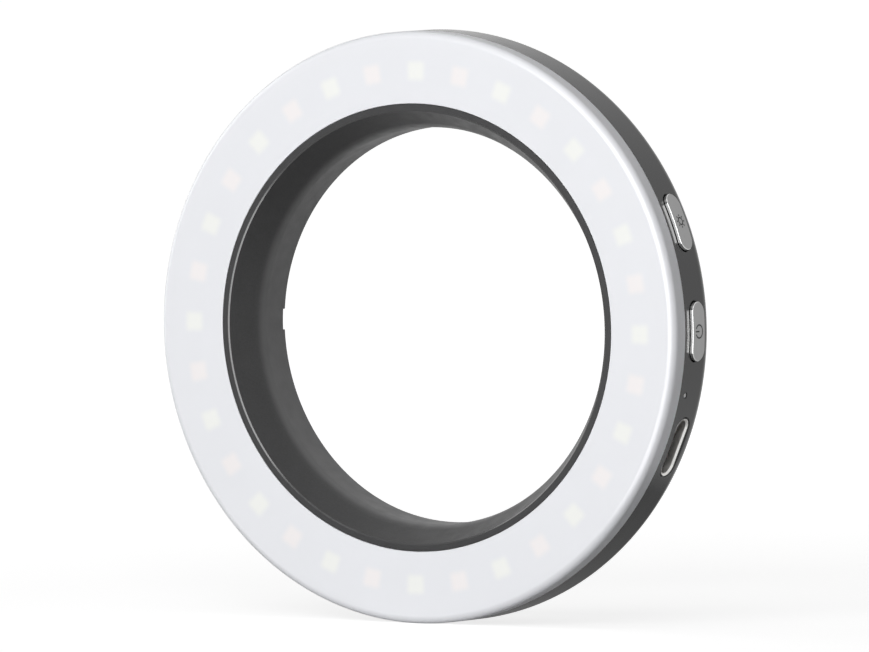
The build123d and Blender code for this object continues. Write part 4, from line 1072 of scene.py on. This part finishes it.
# %% Floor
FLOOR_HALF, FLOOR_GREY = 6.0, 0.45
LIFT_NEAR, LIFT_NEAR_IN_GLOSS, LIFT_FAR = 0.8, 0.2, 1.0
NEAR, FAR = 0.1, 0.5
floor_mesh = bmesh.new()
bmesh.ops.create_grid(floor_mesh, x_segments=1, y_segments=1, size=FLOOR_HALF,
                      matrix=Matrix.Translation((0, 0, cad_low.z)))
floor = loose_object("floor", floor_mesh)
paper = bpy.data.materials.new("pale_floor")
floor.data.materials.append(paper)
pale = Wiring(paper)
matt = pale.add("ShaderNodeBsdfDiffuse")
matt.inputs["Color"].default_value = rgba(FLOOR_GREY, FLOOR_GREY, FLOOR_GREY)
length = pale.add("ShaderNodeVectorMath", operation="LENGTH")
pale.link(pale.add("ShaderNodeTexCoord").outputs["Object"], length.inputs[0])
distance = length.outputs["Value"]
lifts = [pale.fade(distance, NEAR, FAR, near_level, LIFT_FAR, course="LINEAR")
         for near_level in (LIFT_NEAR, LIFT_NEAR_IN_GLOSS)]
lift = pale.add("ShaderNodeEmission")
pale.link(seen_level(pale, *lifts), lift.inputs["Strength"])
both = pale.add("ShaderNodeAddShader")
pale.link(matt.outputs[0], both.inputs[0])
pale.link(lift.outputs[0], both.inputs[1])
print("floor at z =", round(cad_low.z / MM, 3), "mm")

# %% [markdown]
# A little away from the object, reflected rays go straight through the floor, so the buttons and the gloss
# of the rim mirror the lower half of the front softbox and the white surround. A hole in the mesh would
# show in the picture; a Transparent shader for glossy rays alone doesn't.

# %% Clear floor for reflections
CLEAR_FROM, CLEAR_TO = 0.068, 0.08
seen_in_gloss = pale.add("ShaderNodeLightPath").outputs["Is Glossy Ray"]
away = pale.fade(distance, CLEAR_FROM, CLEAR_TO, course="LINEAR")
clear = pale.add("ShaderNodeBsdfTransparent")
surface = pale.add("ShaderNodeMixShader")
pale.link(pale.calc("MULTIPLY", seen_in_gloss, away), surface.inputs[0])
pale.link(both.outputs[0], surface.inputs[1])
pale.link(clear.outputs[0], surface.inputs[2])
pale.link(surface.outputs[0], pale.add("ShaderNodeOutputMaterial").inputs["Surface"])
print("nodes of the floor:", len(paper.node_tree.nodes))

# %% [markdown]
# Three softboxes light the ring. A tall one in front, a little to the right, lights the face evenly and
# puts the highlight on the rounded edge. It reaches far down, so that the highlight runs on below the
# ring's middle. A smaller one hangs overhead for the top of the rim, and one at the left lights the bore.
# Strength is given as the brightness of the cloth, so that size doesn't change how bright a reflection is.

# %% Softboxes
def direction(azimuth, elevation):
    """The way from the ring towards a viewer at these angles, in degrees; 0, 0 is straight in front."""
    turn, rise = math.radians(azimuth), math.radians(elevation)
    return Vector((math.sin(turn) * math.cos(rise), -math.cos(turn) * math.cos(rise), math.sin(rise)))


def place_on_stage(name, data, where, away):
    """An object made of that data at a place, which looks back along a direction."""
    obj = bpy.data.objects.new(name, data)
    obj.location = where
    obj.rotation_euler = away.to_track_quat("Z", "Y").to_euler()
    bpy.context.scene.collection.objects.link(obj)
    return obj


def softbox(name, azimuth, elevation, distance, width, height, radiance):
    """A rectangular area lamp that looks at the light's middle."""
    lamp = bpy.data.lights.new(name, "AREA")
    lamp.shape = "RECTANGLE"
    lamp.size, lamp.size_y = width, height
    lamp.energy = radiance * math.pi * width * height
    away = direction(azimuth, elevation)
    place_on_stage(name, lamp, away * distance, away)
    print(name, "power:", round(lamp.energy, 2), "W")


softbox("front_softbox", azimuth=10, elevation=-1, distance=1.2, width=1.2, height=1.85, radiance=4.58)
softbox("top_softbox", azimuth=10, elevation=64, distance=1.1, width=0.7, height=0.5, radiance=1.3)
softbox("left_softbox", azimuth=-85, elevation=14, distance=1.2, width=0.8, height=0.9, radiance=1.8)

# %% [markdown]
# The camera looks at the front from thirty degrees to the right and three degrees above, with a very long
# lens from nearly three metres away, because the photographed ring shows hardly any perspective. It aims a
# little to the right of the ring's middle and above it, where the middle of the picture is.

# %% Camera
AZIMUTH, ELEVATION, DISTANCE = 30, 2.98, 2.905
LENS, SENSOR = 840, 36
AIM_RIGHT, AIM_UP = 0.0027, 0.00025
back = direction(AZIMUTH, ELEVATION)
right = direction(AZIMUTH + 90, 0)
up = back.cross(right)
target = Vector((0, FRONT_Y * MM, 0)) + right * AIM_RIGHT + up * AIM_UP
camera_data = bpy.data.cameras.new("camera")
camera_data.lens, camera_data.sensor_width = LENS, SENSOR
camera_data.clip_start, camera_data.clip_end = 0.1, 20
camera = place_on_stage("camera", camera_data, target + back * DISTANCE, back)
bpy.context.scene.camera = camera
bpy.context.scene.view_settings.view_transform = "Standard"
print("camera at", [round(v, 3) for v in camera.location])

# %% [markdown]
# Last, the box of the CAD model is printed. The finished pieces should fill that same box, because
# Blender only changes how the light looks and never how large it is.

# %% Sizes and the end
print("CAD box", [round(v / MM, 3) for v in (*cad_low, *cad_high)])
